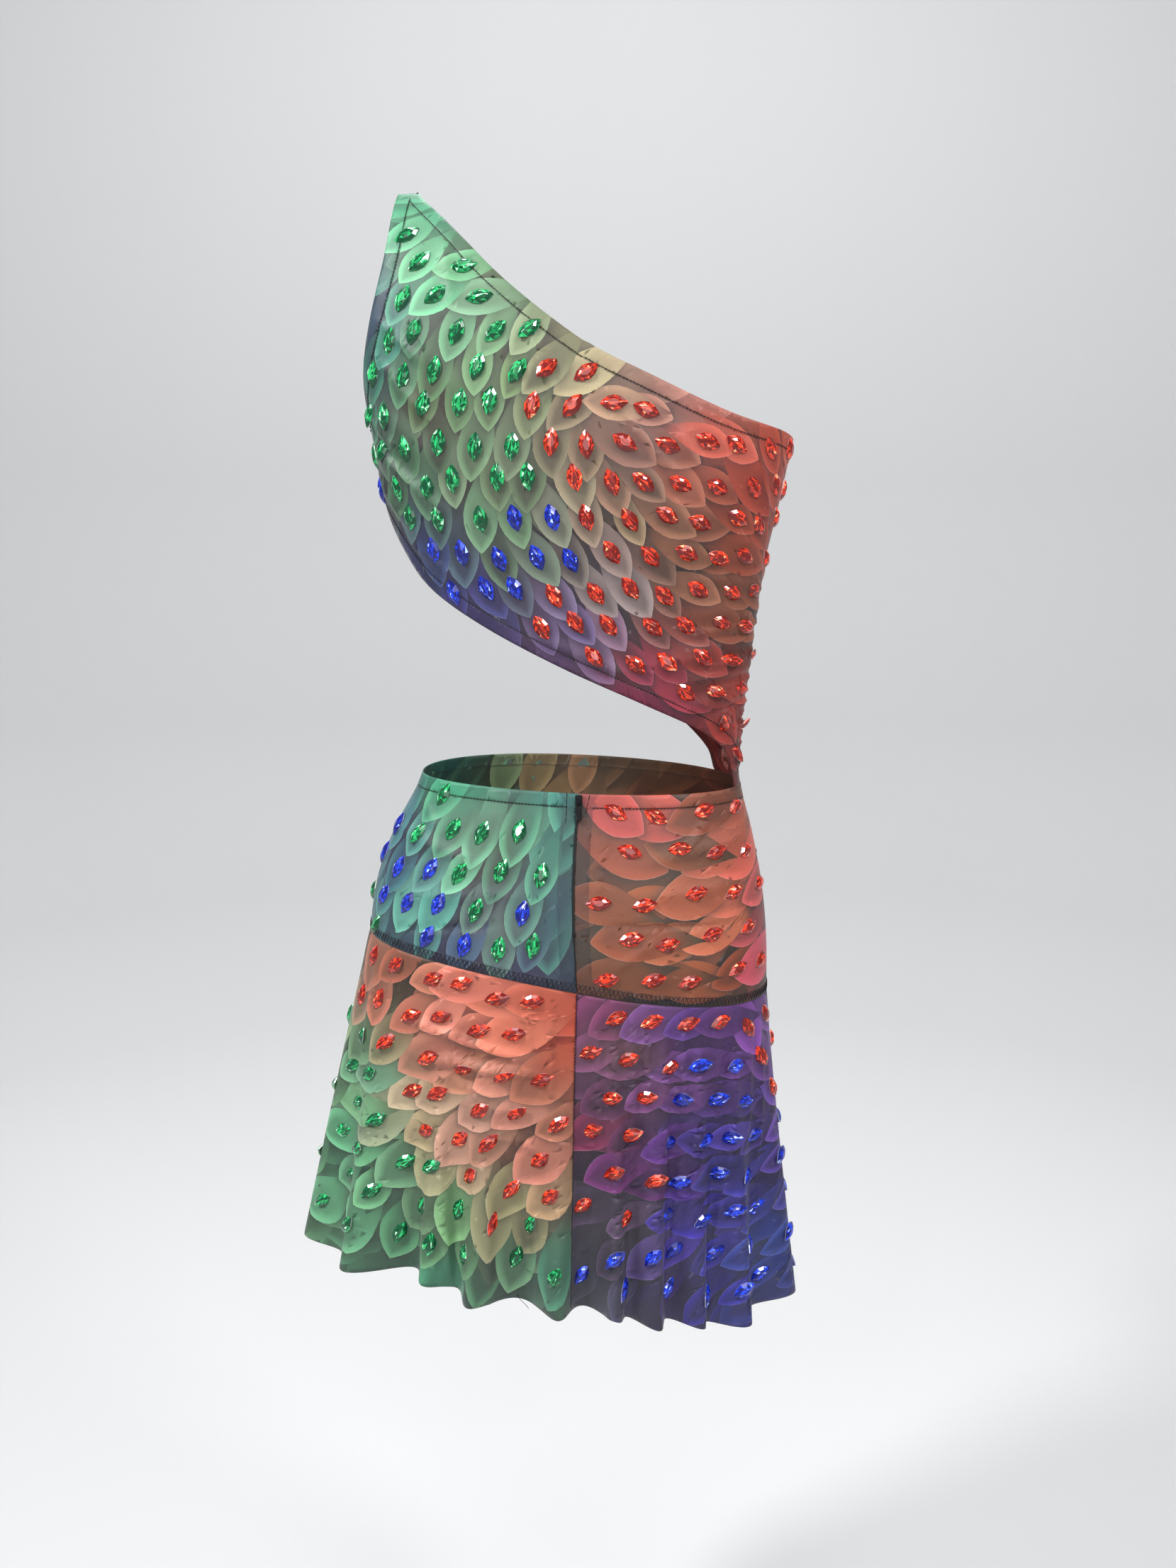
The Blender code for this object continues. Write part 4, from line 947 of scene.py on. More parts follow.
def cut_cloth(loop, petals, lines, inner, squash):
    """Triangles over a loop, cut along the petals' outlines and along fold lines."""
    points, edges = [], []
    closed = [(shape, 0) for shape in [loop, *(p.outline() for p in petals)]]
    for shape, short in closed + [(line, 1) for line in lines]:
        first, count = len(points), len(shape)
        points += [tuple(p) for p in shape]
        edges += [(first + k, first + (k + 1) % count) for k in range(count - short)]
    points += [tuple(p) for p in inner]
    flat = [Vector((u, v * squash)) for u, v in points]
    verts, _, faces, *_ = delaunay_2d_cdt(flat, edges, [], 0, 1e-6)
    places = np.array([(v.x, v.y / squash) for v in verts])
    faces = np.array([f for f in faces if len(f) == 3])
    inside = distance_inside(places[faces].mean(axis=1), loop) > 0
    faces = faces[inside]
    used, faces = np.unique(faces, return_inverse=True)
    return places[used], faces.reshape(-1, 3)


def paint_petals(places, faces, petals):
    """Each face's petal, and at each corner the share along it, distance across it and shade beside it."""
    middles = places[faces].mean(axis=1)
    owner = np.full(len(faces), -1)
    for k, petal in enumerate(petals):
        share, across = petal.local(middles)
        inside = (share > 0.0) & (share < 1) & (np.abs(across) < petal_width(share) * PETAL_WIDE)
        owner[inside] = k
    corners = faces.ravel()
    corner_owner = np.repeat(owner, 3)
    share, across, shade = np.full(len(corners), -1.0), np.zeros(len(corners)), np.zeros(len(corners))
    for k, petal in enumerate(petals):
        near = np.flatnonzero(np.abs(places - petal.at).max(axis=1) < PETAL_REACH)
        if not len(near):
            continue
        along, off = petal.local(places[near])
        mine = corner_owner == k
        if mine.any():
            table_along, table_off = np.full(len(places), -1.0), np.zeros(len(places))
            table_along[near], table_off[near] = along, off
            share[mine], across[mine] = table_along[corners[mine]], table_off[corners[mine]]
        beyond = np.maximum(along - 1, 0) * (PETAL_ROOT + PETAL_TIP)
        gap = np.hypot(np.maximum(np.abs(off) - petal_width(along) * PETAL_WIDE, 0), beyond)
        dark = np.zeros(len(places))
        dark[near] = np.exp(-gap / SHADE_FADE) * np.clip((along - 0.3) / 0.25, 0, 1) * petal.shade
        under = corner_owner < k
        shade[under] = np.maximum(shade[under], dark[corners[under]])
    return owner, np.clip(share, -1, 1), across, shade


def beside(line, distance):
    """The line moved to its left by a distance."""
    run = np.gradient(line, axis=0)
    run /= np.linalg.norm(run, axis=1, keepdims=True)
    return line + np.stack([run[:, 1], -run[:, 0]], axis=1) * distance


def inner_line(edge, loop, distance):
    """A line along an edge, a distance inside the loop."""
    for sign in (1, -1):
        line = beside(edge, sign * distance)
        inside = distance_inside(line, loop) > 0.8 * distance
        if inside.mean() > 0.5:
            return line[inside]
    return line


def nearness(places, edges):
    """Distance from the nearest edge as a share of that edge's width, 1 at most."""
    found = np.full(len(places), 1.0)
    for edge, width in edges:
        found = np.minimum(found, distance_to_line(places, edge) / width)
    return found


def new_piece(name, points, faces, finish):
    mesh = bpy.data.meshes.new(name)
    mesh.from_pydata([tuple(p) for p in points], [], faces)
    mesh.materials.append(finish)
    piece = bpy.data.objects.new(name, mesh)
    bpy.context.scene.collection.objects.link(piece)
    return piece


def thicken(piece, wall):
    """Gives a sheet its wall, half on each side."""
    shell = piece.modifiers.new("thickness", "SOLIDIFY")
    shell.thickness, shell.offset = wall, 0
    bpy.ops.object.select_all(action="DESELECT")
    piece.select_set(True)
    bpy.context.view_layer.objects.active = piece
    bpy.ops.object.modifier_apply(modifier=shell.name)


# How each kind of panel is cut: points inside it, in mm round and down, and its squash while it is cut
CUTS = {"bodice": (2.7, 2.7, 1.0), "yoke": (2.7, 2.7, 1.0), "skirt": (2.4, 3.3, 0.8)}
CLOTH_THICK, DOUBLED_LIFT = 0.5 * MM, 0.3 * MM
HEM_LINE, BAND_LINE = 1.2 * MM, 0.6 * MM
TINT_DEPTH, TINT_SHIFT = (0.74, 1.06), (0.92, 1.08)


def sew_panel(panel, petals, hems, finish, seed):
    """One panel of cloth: a thin shell cut along its petals, with the print's values on its corners."""
    place, from_front = panel.place, panel.from_front
    pitch_round, pitch_down, squash = CUTS[panel.kind]
    folds, bands = [(edge, HEM_TURN) for edge in hems], seam_bands(panel)
    lines = []
    for edges, step in ((folds, HEM_LINE), (bands, BAND_LINE)):
        for edge, width in edges:
            lines += [inner_line(edge, panel.loop, width), inner_line(edge, panel.loop, width + step)]
    lines = [line for line in lines if len(line) > 2]
    inner = points_in(panel.loop, (pitch_round * MM, pitch_down * MM), seed)
    places, faces = cut_cloth(panel.loop, petals, lines, inner, squash)
    owner, share, across, shade = paint_petals(places, faces, petals)
    u, v = places.T
    normal = outward(place, u, v, from_front)
    turned, allowance = nearness(places, folds), nearness(places, bands)
    doubled = np.minimum(turned, allowance) < 0.999
    points = place(u, v, from_front) + normal * (DOUBLED_LIFT * doubled)[:, None]
    a, b, c = (points[faces[:, k]] for k in range(3))
    order = np.arange(len(faces) * 3).reshape(-1, 3)
    if (np.cross(b - a, c - a) * normal[faces[:, 0]]).sum() < 0:
        order = order[:, ::-1]
    faces = faces.ravel()[order]
    share, across, shade = (values[order.ravel()] for values in (share, across, shade))
    cloth = new_piece(panel.name + "_mesh", points, faces.tolist(), finish)
    ground, _ = tones(panel.tape_of(u, v), v, panel.tone_rows)
    draw = np.random.default_rng(seed)
    middle = np.array([p.at for p in petals])
    _, tint = tones(panel.tape_of(middle[:, 0], middle[:, 1]), middle[:, 1], panel.tone_rows)
    tint = tint * draw.uniform(*TINT_DEPTH, (len(petals), 1)) * draw.uniform(*TINT_SHIFT, (len(petals), 3))
    strength = np.array([p.strength for p in petals])
    tint, strength = np.vstack([tint, np.zeros(3)]), np.append(strength, 0.0)
    owners = np.repeat(owner, 3)
    values = {
        "ground": ("FLOAT_COLOR", "POINT", np.column_stack([ground, np.ones(len(ground))])),
        "petal": ("FLOAT_VECTOR", "CORNER", np.column_stack([share, across / MM / 10, shade])),
        "petal_tint": ("FLOAT_COLOR", "CORNER", np.column_stack([tint[owners], strength[owners]])),
        "hem": ("FLOAT", "POINT", turned),
        "allowance": ("FLOAT", "POINT", allowance),
    }
    for key, (kind, domain, numbers) in values.items():
        layer = cloth.data.attributes.new(key, kind, domain)
        field = {"FLOAT": "value", "FLOAT_VECTOR": "vector", "FLOAT_COLOR": "color"}[kind]
        layer.data.foreach_set(field, np.ascontiguousarray(numbers, dtype=np.float32).ravel())
    weave = cloth.data.uv_layers.new(name="weave")
    weave.data.foreach_set("uv", places[faces.ravel()].astype(np.float32).ravel())
    cloth.data.polygons.foreach_set("use_smooth", np.ones(len(faces), bool))
    thicken(cloth, CLOTH_THICK)
    return cloth


# Many small pieces: one model, copied to many places and joined

def joined(name, model, frames, finish, slot="black_thread"):
    """One mesh with the model's points and faces at each frame: origin, three axes."""
    points, faces = np.array(model[0], float), model[1]
    vertices, polygons = [], []
    for k, (origin, *axes) in enumerate(frames):
        vertices.append(points @ np.stack(axes) + origin)
        polygons += [tuple(len(points) * k + i for i in face) for face in faces]
    piece = new_piece(name, np.vstack(vertices), polygons, finish)
    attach(piece, "dress")
    return piece


# Facets of a stone: how far each row is set in, and how far it rises, on a blank of radius 1
FACET_ROWS = ((0.30, 1.5), (0.26, 0.85))
# The blank's size against the stone's, and how blunt its two points are
BLANK_WIDE, BLANK_LONG, BLANK_RISE, POINT_POWER = 0.58, 0.525, 1.02, 2.1


def cut_stone():
    """One marquise stone: a girdle, two rows of facets and a table, on a turned blank with twelve sides."""
    bpy.ops.object.select_all(action="DESELECT")
    bpy.ops.mesh.primitive_cylinder_add(
        vertices=12, radius=1, depth=1, location=(0, 0, 0.5), end_fill_type="NGON"
    )
    blank = bpy.context.object
    for thickness, rise in FACET_ROWS:
        bpy.ops.object.mode_set(mode="EDIT")
        bpy.ops.mesh.select_all(action="DESELECT")
        bpy.ops.object.mode_set(mode="OBJECT")
        top = max(blank.data.polygons, key=lambda face: face.center.z)
        top.select = True
        bpy.ops.object.mode_set(mode="EDIT")
        bpy.ops.mesh.inset(thickness=thickness, depth=0)
        bpy.ops.transform.translate(value=(0, 0, rise))
        bpy.ops.object.mode_set(mode="OBJECT")
    bpy.ops.object.mode_set(mode="EDIT")
    bpy.ops.mesh.select_all(action="SELECT")
    bpy.ops.mesh.quads_convert_to_tris(quad_method="SHORTEST_DIAGONAL", ngon_method="BEAUTY")
    bpy.ops.object.mode_set(mode="OBJECT")
    points = np.array([tuple(v.co) for v in blank.data.vertices])
    faces = [tuple(face.vertices) for face in blank.data.polygons]
    bpy.data.objects.remove(blank, do_unlink=True)
    reach = np.hypot(points[:, 0], points[:, 1])
    along = points[:, 1] / np.maximum(reach, 1e-9)
    side = points[:, 0] / np.maximum(reach, 1e-9)
    point_up = np.sign(side) * (1 - np.abs(along) ** POINT_POWER) * reach
    wide, long = STONE_WIDE * BLANK_WIDE, STONE_LONG * BLANK_LONG
    flat = np.stack([point_up * wide, along * reach * long, points[:, 2] * MM * BLANK_RISE], axis=1)
    return flat, faces


def frames_on(place, u, v, lean, from_front, lift):
    """Origins and axes on the cloth: across, along the heading, and out of the cloth."""
    u, v, lean = (np.atleast_1d(np.asarray(values, float)) for values in (u, v, lean))
    step = 1.5 * MM
    here = place(u, v, from_front)
    up = outward(place, u, v, from_front)
    along = place(u + step * np.sin(lean), v + step * np.cos(lean), from_front) - here
    along -= up * (along * up).sum(axis=1, keepdims=True)
    along /= np.linalg.norm(along, axis=1, keepdims=True)
    return list(zip(here + up * lift, np.cross(along, up), along, up))


def stitch_model(length, thick):
    """One thread stitch: a short bar with five sides and pointed ends that dip into the cloth."""
    turns = [math.pi * 2 * k / 5 + math.pi / 2 for k in range(5)]
    ring = [(math.cos(turn) * thick / 2, math.sin(turn) * thick / 2) for turn in turns]
    points = [(0, -length / 2, -thick * 0.5)]
    points += [(x, -length * 0.3, z) for x, z in ring]
    points += [(x, length * 0.3, z) for x, z in ring]
    points += [(0, length / 2, -thick * 0.5)]
    faces = []
    for k in range(5):
        j = (k + 1) % 5
        faces += [(0, 1 + j, 1 + k), (1 + k, 1 + j, 6 + j), (1 + k, 6 + j, 6 + k), (11, 6 + k, 6 + j)]
    return points, faces


def stitches_along(place, line, from_front, pitch, lift, turn=0.0):
    """Frames of stitches laid along a line of the cloth, turned to and fro for a zigzag."""
    marks = evenly(line, pitch)
    run = np.gradient(marks, axis=0)[:-1]
    sign = np.where(np.arange(len(run)) % 2, 1.0, -1.0)
    lean = np.arctan2(run[:, 0], run[:, 1]) + sign * turn
    return frames_on(place, *marks[:-1].T, lean, from_front, lift)


# Finishes

class Wire:
    """A shader socket that works in Python expressions."""

    def __init__(self, tree, socket):
        self.tree, self.socket = tree, socket

    def math(self, operation, *others, clamp=False):
        made = self.tree.nodes.new("ShaderNodeMath")
        made.operation, made.use_clamp = operation, clamp
        for slot, value in zip(made.inputs, (self, *others)):
            plug(self.tree, slot, value)
        return Wire(self.tree, made.outputs[0])

    def __add__(self, other):
        return self.math("ADD", other)

    def __sub__(self, other):
        return self.math("SUBTRACT", other)

    def __mul__(self, other):
        return self.math("MULTIPLY", other)

    def __truediv__(self, other):
        return self.math("DIVIDE", other)

    def __pow__(self, other):
        return self.math("POWER", other)

    def __gt__(self, other):
        return self.math("GREATER_THAN", other)

    def __lt__(self, other):
        return self.math("LESS_THAN", other)

    def __rsub__(self, other):
        return self * -1.0 + other

    __radd__, __rmul__ = __add__, __mul__

    def held(self):
        """Kept from 0 to 1."""
        return self.math("ADD", 0.0, clamp=True)

    def soft(self, low, high):
        """A soft step from 0 at low to 1 at high."""
        t = ((self - low) / (high - low)).held()
        return t * t * (3.0 - 2.0 * t)


def plug(tree, slot, value):
    if isinstance(value, Wire):
        tree.links.new(value.socket, slot)
    else:
        slot.default_value = value


class Finish:
    """A material's nodes. add() makes any node, and its sockets work in expressions."""

    def __init__(self, name):
        self.material = bpy.data.materials.new(name)
        self.material.use_nodes = True
        self.tree = self.material.node_tree
        self.shader = self.tree.nodes["Principled BSDF"]

    def add(self, kind, settings=(), values=(), output=0):
        made = self.tree.nodes.new(kind)
        for key, value in dict(settings).items():
            setattr(made, key, value)
        for key, value in dict(values).items():
            plug(self.tree, made.inputs[key], value)
        return Wire(self.tree, made.outputs[output])

    def mix(self, share, first, second, blend="MIX"):
        return self.add(
            "ShaderNodeMix", {"data_type": "RGBA", "blend_type": blend}, {0: share, 6: first, 7: second}, 2
        )

    def value(self, name, output="Fac"):
        return self.add("ShaderNodeAttribute", {"attribute_name": name}, output=output)

    def parts(self, wire):
        split = self.tree.nodes.new("ShaderNodeSeparateXYZ")
        plug(self.tree, split.inputs[0], wire)
        return [Wire(self.tree, out) for out in split.outputs]

    def noise(self, scale, detail=2.0, rough=0.5, place=None):
        place = place or self.add("ShaderNodeTexCoord", output="Object")
        values = {"Vector": place, "Scale": scale, "Detail": detail, "Roughness": rough}
        return self.add("ShaderNodeTexNoise", values=values)

    def bump(self, height, distance, strength=1.0):
        values = {"Height": height, "Distance": distance, "Strength": strength}
        return self.add("ShaderNodeBump", values=values)

    def set(self, **values):
        for key, value in values.items():
            plug(self.tree, self.shader.inputs[key.replace("_", " ")], value)
        return self.material


def grey(level_of):
    return (level_of, level_of, level_of, 1.0)


RIB_PITCH, CROSS_RIB_PITCH = 1.15 * MM, 1.3 * MM
INK = (0.012, 0.012, 0.014, 1.0)


def printed_mesh(name, solid, gloss=0.5):
    """Stretch mesh with the petal print: pale rims, airbrushed hearts, fine diagonal ribs and turned hems."""
    cloth = Finish(name)
    ground, tint = cloth.value("ground", "Color"), cloth.value("petal_tint", "Color")
    strength = cloth.value("petal_tint", "Alpha")
    share, across, shade = cloth.parts(cloth.value("petal", "Vector"))
    hem, doubled_back = cloth.value("hem"), cloth.value("allowance")
    u, v, _ = cloth.parts(cloth.add("ShaderNodeUVMap", {"uv_map": "weave"}))
    cloud, grain = cloth.noise(26, 3.0, 0.6), cloth.noise(140, 2.0, 0.6)
    held = share.held().math("MAXIMUM", 0.0005)
    width = FULL * held**ROOT_POWER * (1.0 - held).math("MAXIMUM", 0.0005) ** TIP_POWER * (PETAL_WIDE / MM)
    gap = width - across.math("ABSOLUTE") * 10.0
    turned = hem < 1.0
    under_turn = 1.0 - turned * 0.55
    on_petal = ((share > 0.0) * strength * under_turn).held()
    grown = share.soft(0.04, 0.42)
    rim = (1.0 - gap.soft(0.8, 6.4)) * share.soft(0.3, 0.85)
    edge = (1.0 - gap.soft(0.2, 1.1)) * share.soft(0.55, 0.9)
    heart = grown * (0.34 + 0.5 * cloud) * strength * strength
    dimmed = cloth.mix((shade * 0.8).held(), ground, INK)
    deep = cloth.mix(1.0, dimmed, grey(0.5), "MULTIPLY")
    clouded = cloth.mix(((cloud - 0.5) * 2.2 + 0.5).held(), deep, dimmed)
    bright = cloth.mix(1.0, tint, grey(1.3), "MULTIPLY")
    hearted = cloth.mix((heart * (share > 0.0) * under_turn).held(), clouded, tint)
    rimmed = cloth.mix((rim * on_petal * 0.85).held(), hearted, bright)
    edged = cloth.mix((edge * on_petal * 0.3).held(), rimmed, cloth.mix(0.3, bright, (0.95, 0.9, 0.78, 1.0)))
    shaded = cloth.mix((on_petal * shade * 0.75).held(), edged, dimmed)
    ribs = ((u + v) * (math.tau / RIB_PITCH)).math("SINE") * 0.5 + 0.5
    cross_ribs = ((u * 0.8 - v) * (math.tau / CROSS_RIB_PITCH)).math("SINE") * 0.5 + 0.5
    weave = ribs * (1.0 - 0.35 * turned) + cross_ribs * turned * 0.5
    line = (1.0 - ((hem - 1.0).math("ABSOLUTE") * 9.5).soft(0.0, 0.9))
    toned = cloth.mix(1.0, shaded, cloth.mix(weave.held(), grey(0.74), grey(1.12)), "MULTIPLY")
    darker = cloth.mix(1.0, toned, (0.5, 0.52, 0.6, 1.0), "MULTIPLY")
    doubled = cloth.mix((turned * 0.3 + (doubled_back < 1.0) * 0.9).held(), toned, darker)
    lined = cloth.mix(line * 0.4, doubled, (0.01, 0.01, 0.012, 1.0))
    height = weave * 0.10 + grain * 0.12 + cloud * 0.3 - line * 0.6
    clear = (on_petal * grown * 0.5 + rim * on_petal * 0.5 + turned + (doubled_back < 1.0)).held()
    return cloth.set(
        Base_Color=lined,
        Roughness=gloss + 0.12 * grain,
        Alpha=(clear * (1.0 - solid) + solid),
        Normal=cloth.bump(height, 0.5 * MM, 0.6),
        Sheen_Weight=0.1,
        Sheen_Roughness=0.4,
        Specular_IOR_Level=0.4,
    )


def stone_finish(name, deep, clear, painted_glint):
    """Faceted stone over foil, with painted facet brightness, glints and glow, and a silver edge below."""
    stone = Finish(name)
    facet, rise = stone.value("facet"), stone.value("rise")
    streaks = stone.noise(420, 1.0, 0.5)
    # Painted reflection: each facet's random brightness, streaked by noise, stands in for light bounced
    # inside the stone.
    light = (facet + (streaks - 0.5) * 0.5).held()
    body = stone.mix(light.soft(0.36, 0.9), (*deep, 1.0), (*clear, 1.0))
    # Painted glints: the brightest few facets turn near white.
    lit = stone.mix(light.soft(0.93, 0.99), body, (*painted_glint, 1.0))
    foil = 1.0 - rise.soft(0.0, 0.14)
    colour = stone.mix(foil * 0.4, lit, (0.62, 0.64, 0.62, 1.0))
    return stone.set(
        Base_Color=colour,
        Metallic=0.2 + foil * 0.4,
        Roughness=0.12 + 0.08 * streaks,
        Coat_Weight=0.2,
        Coat_Roughness=0.03,
        # Painted light: a faint glow in the facets' own colours, as if lit from inside.
        Emission_Color=lit,
        Emission_Strength=0.2,
    )


def thread_finish(name, colour):
    thread = Finish(name)
    twist = thread.noise(900, 2.0, 0.6)
    dark, pale = [c * 0.6 for c in colour], [c * 1.5 + 0.004 for c in colour]
    return thread.set(
        Base_Color=thread.mix(twist, (*dark, 1.0), (*pale, 1.0)),
        Roughness=0.75, Sheen_Weight=0.05, Specular_IOR_Level=0.15, Normal=thread.bump(twist, 0.1 * MM, 0.4),
    )


def enamel(name):
    """Black painted metal, rubbed to a duller shine."""
    paint = Finish(name)
    rub, pores = paint.noise(260, 3.0, 0.6), paint.noise(1400, 1.0, 0.5)
    return paint.set(
        Base_Color=paint.mix(rub.soft(0.58, 0.78) * 0.12, (0.004, 0.004, 0.005, 1), (0.16, 0.16, 0.17, 1)),
        Roughness=0.5 + 0.2 * rub, Specular_IOR_Level=0.12,
        Normal=paint.bump(pores, 0.05 * MM, 0.3),
    )


def tape_finish(name):
    """Woven black tape: fine ribs across and a selvedge."""
    tape = Finish(name)
    x, _, z = tape.parts(tape.add("ShaderNodeTexCoord", output="Object"))
    ribs = (z * (math.tau / (0.9 * MM))).math("SINE") * 0.5 + 0.5
    warp = (x * (math.tau / (0.6 * MM))).math("SINE") * 0.5 + 0.5
    return tape.set(
        Base_Color=tape.mix(ribs * 0.6 + warp * 0.3, INK, (0.035, 0.035, 0.04, 1.0)),
        Roughness=0.75 + 0.1 * ribs, Sheen_Weight=0.2, Normal=tape.bump(ribs + warp * 0.5, 0.15 * MM, 0.6),
    )


# The dress

class Panel:
    """What one panel is cut and decorated from."""

    def __init__(self, name, surface, loop, from_front, flat=None):
        self.name, self.kind, self.loop = name, name.split("_")[0], loop
        self.from_front, self.flat = from_front, flat
        self.place = folded(surface, FINE_FOLDS[name])
        self.flow, self.tone_rows, self.zones = FLOWS[name], TONES[name], STONE_ZONES[name]

    def tape_of(self, u, v):
        return self.flat.tape(u, v) if self.flat else u


def flat_stones(panel, placed):
    """The stones' places and headings on the cloth laid flat."""
    found = []
    for (u, v), *_ in placed:
        around = float(panel.flat.length(np.array([u]), np.array([v]))[0]) if panel.flat else u
        found.append(((around, v), heading(u, v, panel.flow)))
    return found


def bodice_panels():
    for name, from_front, *edges in (
        ("bodice_back", False, BACK_NECK, BACK_ARMHOLE, BACK_LOWER),
        ("bodice_front", True, FRONT_NECK, FRONT_ARMHOLE, FRONT_LOWER),
    ):
        placed = lay_stones(name, bodice_surface, bodice_outline(*edges, from_front), from_front)
        loop = bodice_outline(*edges, from_front, CLOTH_PITCH, 0)
        hems = [through(edge, CLOTH_PITCH) for edge in edges]
        yield Panel(name, bodice_surface, loop, from_front), placed, hems


def yoke_outlines(pitch, gap):
    """The yoke's outlines: back left, back right and front."""
    side = lambda v: side_of(v, False) - gap
    front_side = lambda v: side_of(v, True) - gap
    return (
        yoke_outline(side, lambda v: centre_back(v) + gap, False, pitch, gap),
        yoke_outline(lambda v: centre_back(v) - gap, lambda v: -side(v), False, pitch, gap),
        yoke_outline(front_side, lambda v: -front_side(v), True, pitch, gap),
    )


def yoke_panels():
    names = ("yoke_back_left", "yoke_back_right", "yoke_front")
    cuts, loops = yoke_outlines(EDGE_PITCH, SEAM_GAP / 2), yoke_outlines(CLOTH_PITCH, 0)
    for name, cut, loop in zip(names, cuts, loops):
        from_front = name == "yoke_front"
        placed = lay_stones(name, yoke_surface, cut, from_front, None if from_front else near_zip)
        low, high = loop[:, 0].min(), loop[:, 0].max()
        top = seam_line(low, high, lambda u: (u, waist_down(u, from_front)), CLOTH_PITCH)
        yield Panel(name, yoke_surface, loop, from_front), placed, [top]


def skirt_ends(name, from_front, gap):
    """Tape measures round at the left and right ends of a flounce panel's seam."""
    left, right = [
        meet(lambda v: sign * (side_of(v, from_front) - gap), lambda u: hip_down(u, from_front))[0]
        for sign in (1, -1)
    ]
    if name == "skirt_back_left":
        return left, -CENTRE_SWING + gap
    if name == "skirt_back_right":
        return -CENTRE_SWING - gap, right
    return left, right


def skirt_panels():
    for name in ("skirt_back_left", "skirt_back_right", "skirt_front"):
        from_front = name == "skirt_front"
        rows, flat = (FRONT_FLUTES, FLAT_FRONT) if from_front else (BACK_FLUTES, FLAT_BACK)
        cut = skirt_outline(*skirt_ends(name, from_front, SEAM_GAP / 2), rows)
        placed = lay_stones(name, skirt_surface, cut, from_front)
        loop = flat_skirt(*skirt_ends(name, from_front, 0), flat)
        yield Panel(name, flounce, loop, from_front, flat), placed, []


def flat_skirt(left, right, flat):
    """Outline of a flounce panel laid flat."""
    around = np.linspace(left, right, 240)
    hem = np.array([hem_drop(u) for u in around])
    top = evenly(np.stack([flat.length(around, around * 0), around * 0], axis=1), 4 * MM)
    foot = evenly(np.stack([flat.length(around, hem), hem], axis=1), 2.5 * MM)
    left_edge, right_edge = [
        np.stack([flat.length(np.full(60, end), down), down], axis=1)
        for end, down in ((left, np.linspace(0, hem[0], 60)), (right, np.linspace(0, hem[-1], 60)))
    ]
    return closed_outline(top, right_edge, foot[::-1], left_edge[::-1])


# Building

STITCH, SEAM_PITCH, HEM_PITCH = 2.3 * MM, 1.1, 1.12
STONE_LIFT, HEM_LIFT, SEAM_LIFT = 0.35 * MM, 0.75 * MM, 0.55 * MM
OVERLOCK_ABOVE, SEAM_ABOVE = 3.8, (0.8, 6.4)
FACET_SEED, CLOTH_SEED = 40, 60


def collect_finishes():
    """The materials of the new pieces, by name."""
    solid = {"bodice": 0.97, "yoke": 0.96, "skirt_back": 0.84, "skirt_front": 0.88}
    made = {key: printed_mesh(key + "_printed_mesh", share) for key, share in solid.items()}
    # Stones: the facets' painted reflection runs from the first colour to the second; the third is for
    # painted glints.
    made["green"] = stone_finish("green_stone", (0.0, 0.05, 0.018), (0.015, 0.42, 0.12), (0.5, 0.95, 0.6))
    made["red"] = stone_finish("red_stone", (0.13, 0.006, 0.004), (0.80, 0.045, 0.012), (1.0, 0.42, 0.2))
    made["blue"] = stone_finish("blue_stone", (0.003, 0.006, 0.12), (0.008, 0.05, 0.78), (0.4, 0.55, 1.0))
    made["thread"] = thread_finish("black_sewing_thread", (0.006, 0.006, 0.007))
    made["overlock"] = thread_finish("dark_overlock_thread", (0.012, 0.010, 0.014))
    return made


BOLD_PETALS = {
    "yoke_back_right": ((1.15, 1.6), (0.9, 1.7)), "skirt_back_left": ((1.0, 1.6), (0.6, 1.35)),
    "skirt_back_right": ((0.95, 1.4), (0.35, 1.1)), "skirt_front": ((1.0, 1.5), (0.5, 1.1)),
}
SOFT_PETALS = ((0.9, 1.25), (0.45, 1.2))


def panel_petals(panel, placed, seed):
    stones = flat_stones(panel, placed)
    looks = BOLD_PETALS.get(panel.name, SOFT_PETALS)
    return stones, lay_petals(stones, panel.loop, panel.flow, panel.flat, seed, *looks)


def seam_bands(panel):
    """Seams whose allowance shows through the cloth, each with its width."""
    loop = panel.loop
    if panel.kind != "yoke":
        return []
    low, high = loop[:, 0].min(), loop[:, 0].max()
    hip = seam_line(low, high, lambda u: (u, hip_down(u, panel.from_front)), CLOTH_PITCH)
    bands = [(hip, 7 * MM)]
    if not panel.from_front:
        downs = np.arange(WAIST_DOWN, HIP_DOWN, CLOTH_PITCH)
        bands.append((np.stack([centre_back(downs), downs], axis=1), 11 * MM))
    return bands


def sew(panel, placed, hems, finishes, seed):
    """The cloth of a panel, and the places and colours of its stones."""
    stones, petals = panel_petals(panel, placed, seed)
    look = "_".join(panel.name.split("_")[:2]) if panel.kind == "skirt" else panel.kind
    cloth = sew_panel(panel, petals, hems, finishes[look], seed)
    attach(cloth, "dress")
    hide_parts(panel.name)
    u, v = panel.loop.T
    found = {"green": [], "red": [], "blue": []}
    u, v = np.array([spot for spot, _ in stones]).T
    frames = frames_on(panel.place, u, v, [lean for _, lean in stones], panel.from_front, STONE_LIFT)
    for tape, down, frame_of_stone in zip(panel.tape_of(u, v), v, frames):
        found[stone_colour(tape, down, panel.zones)].append(frame_of_stone)
    return found


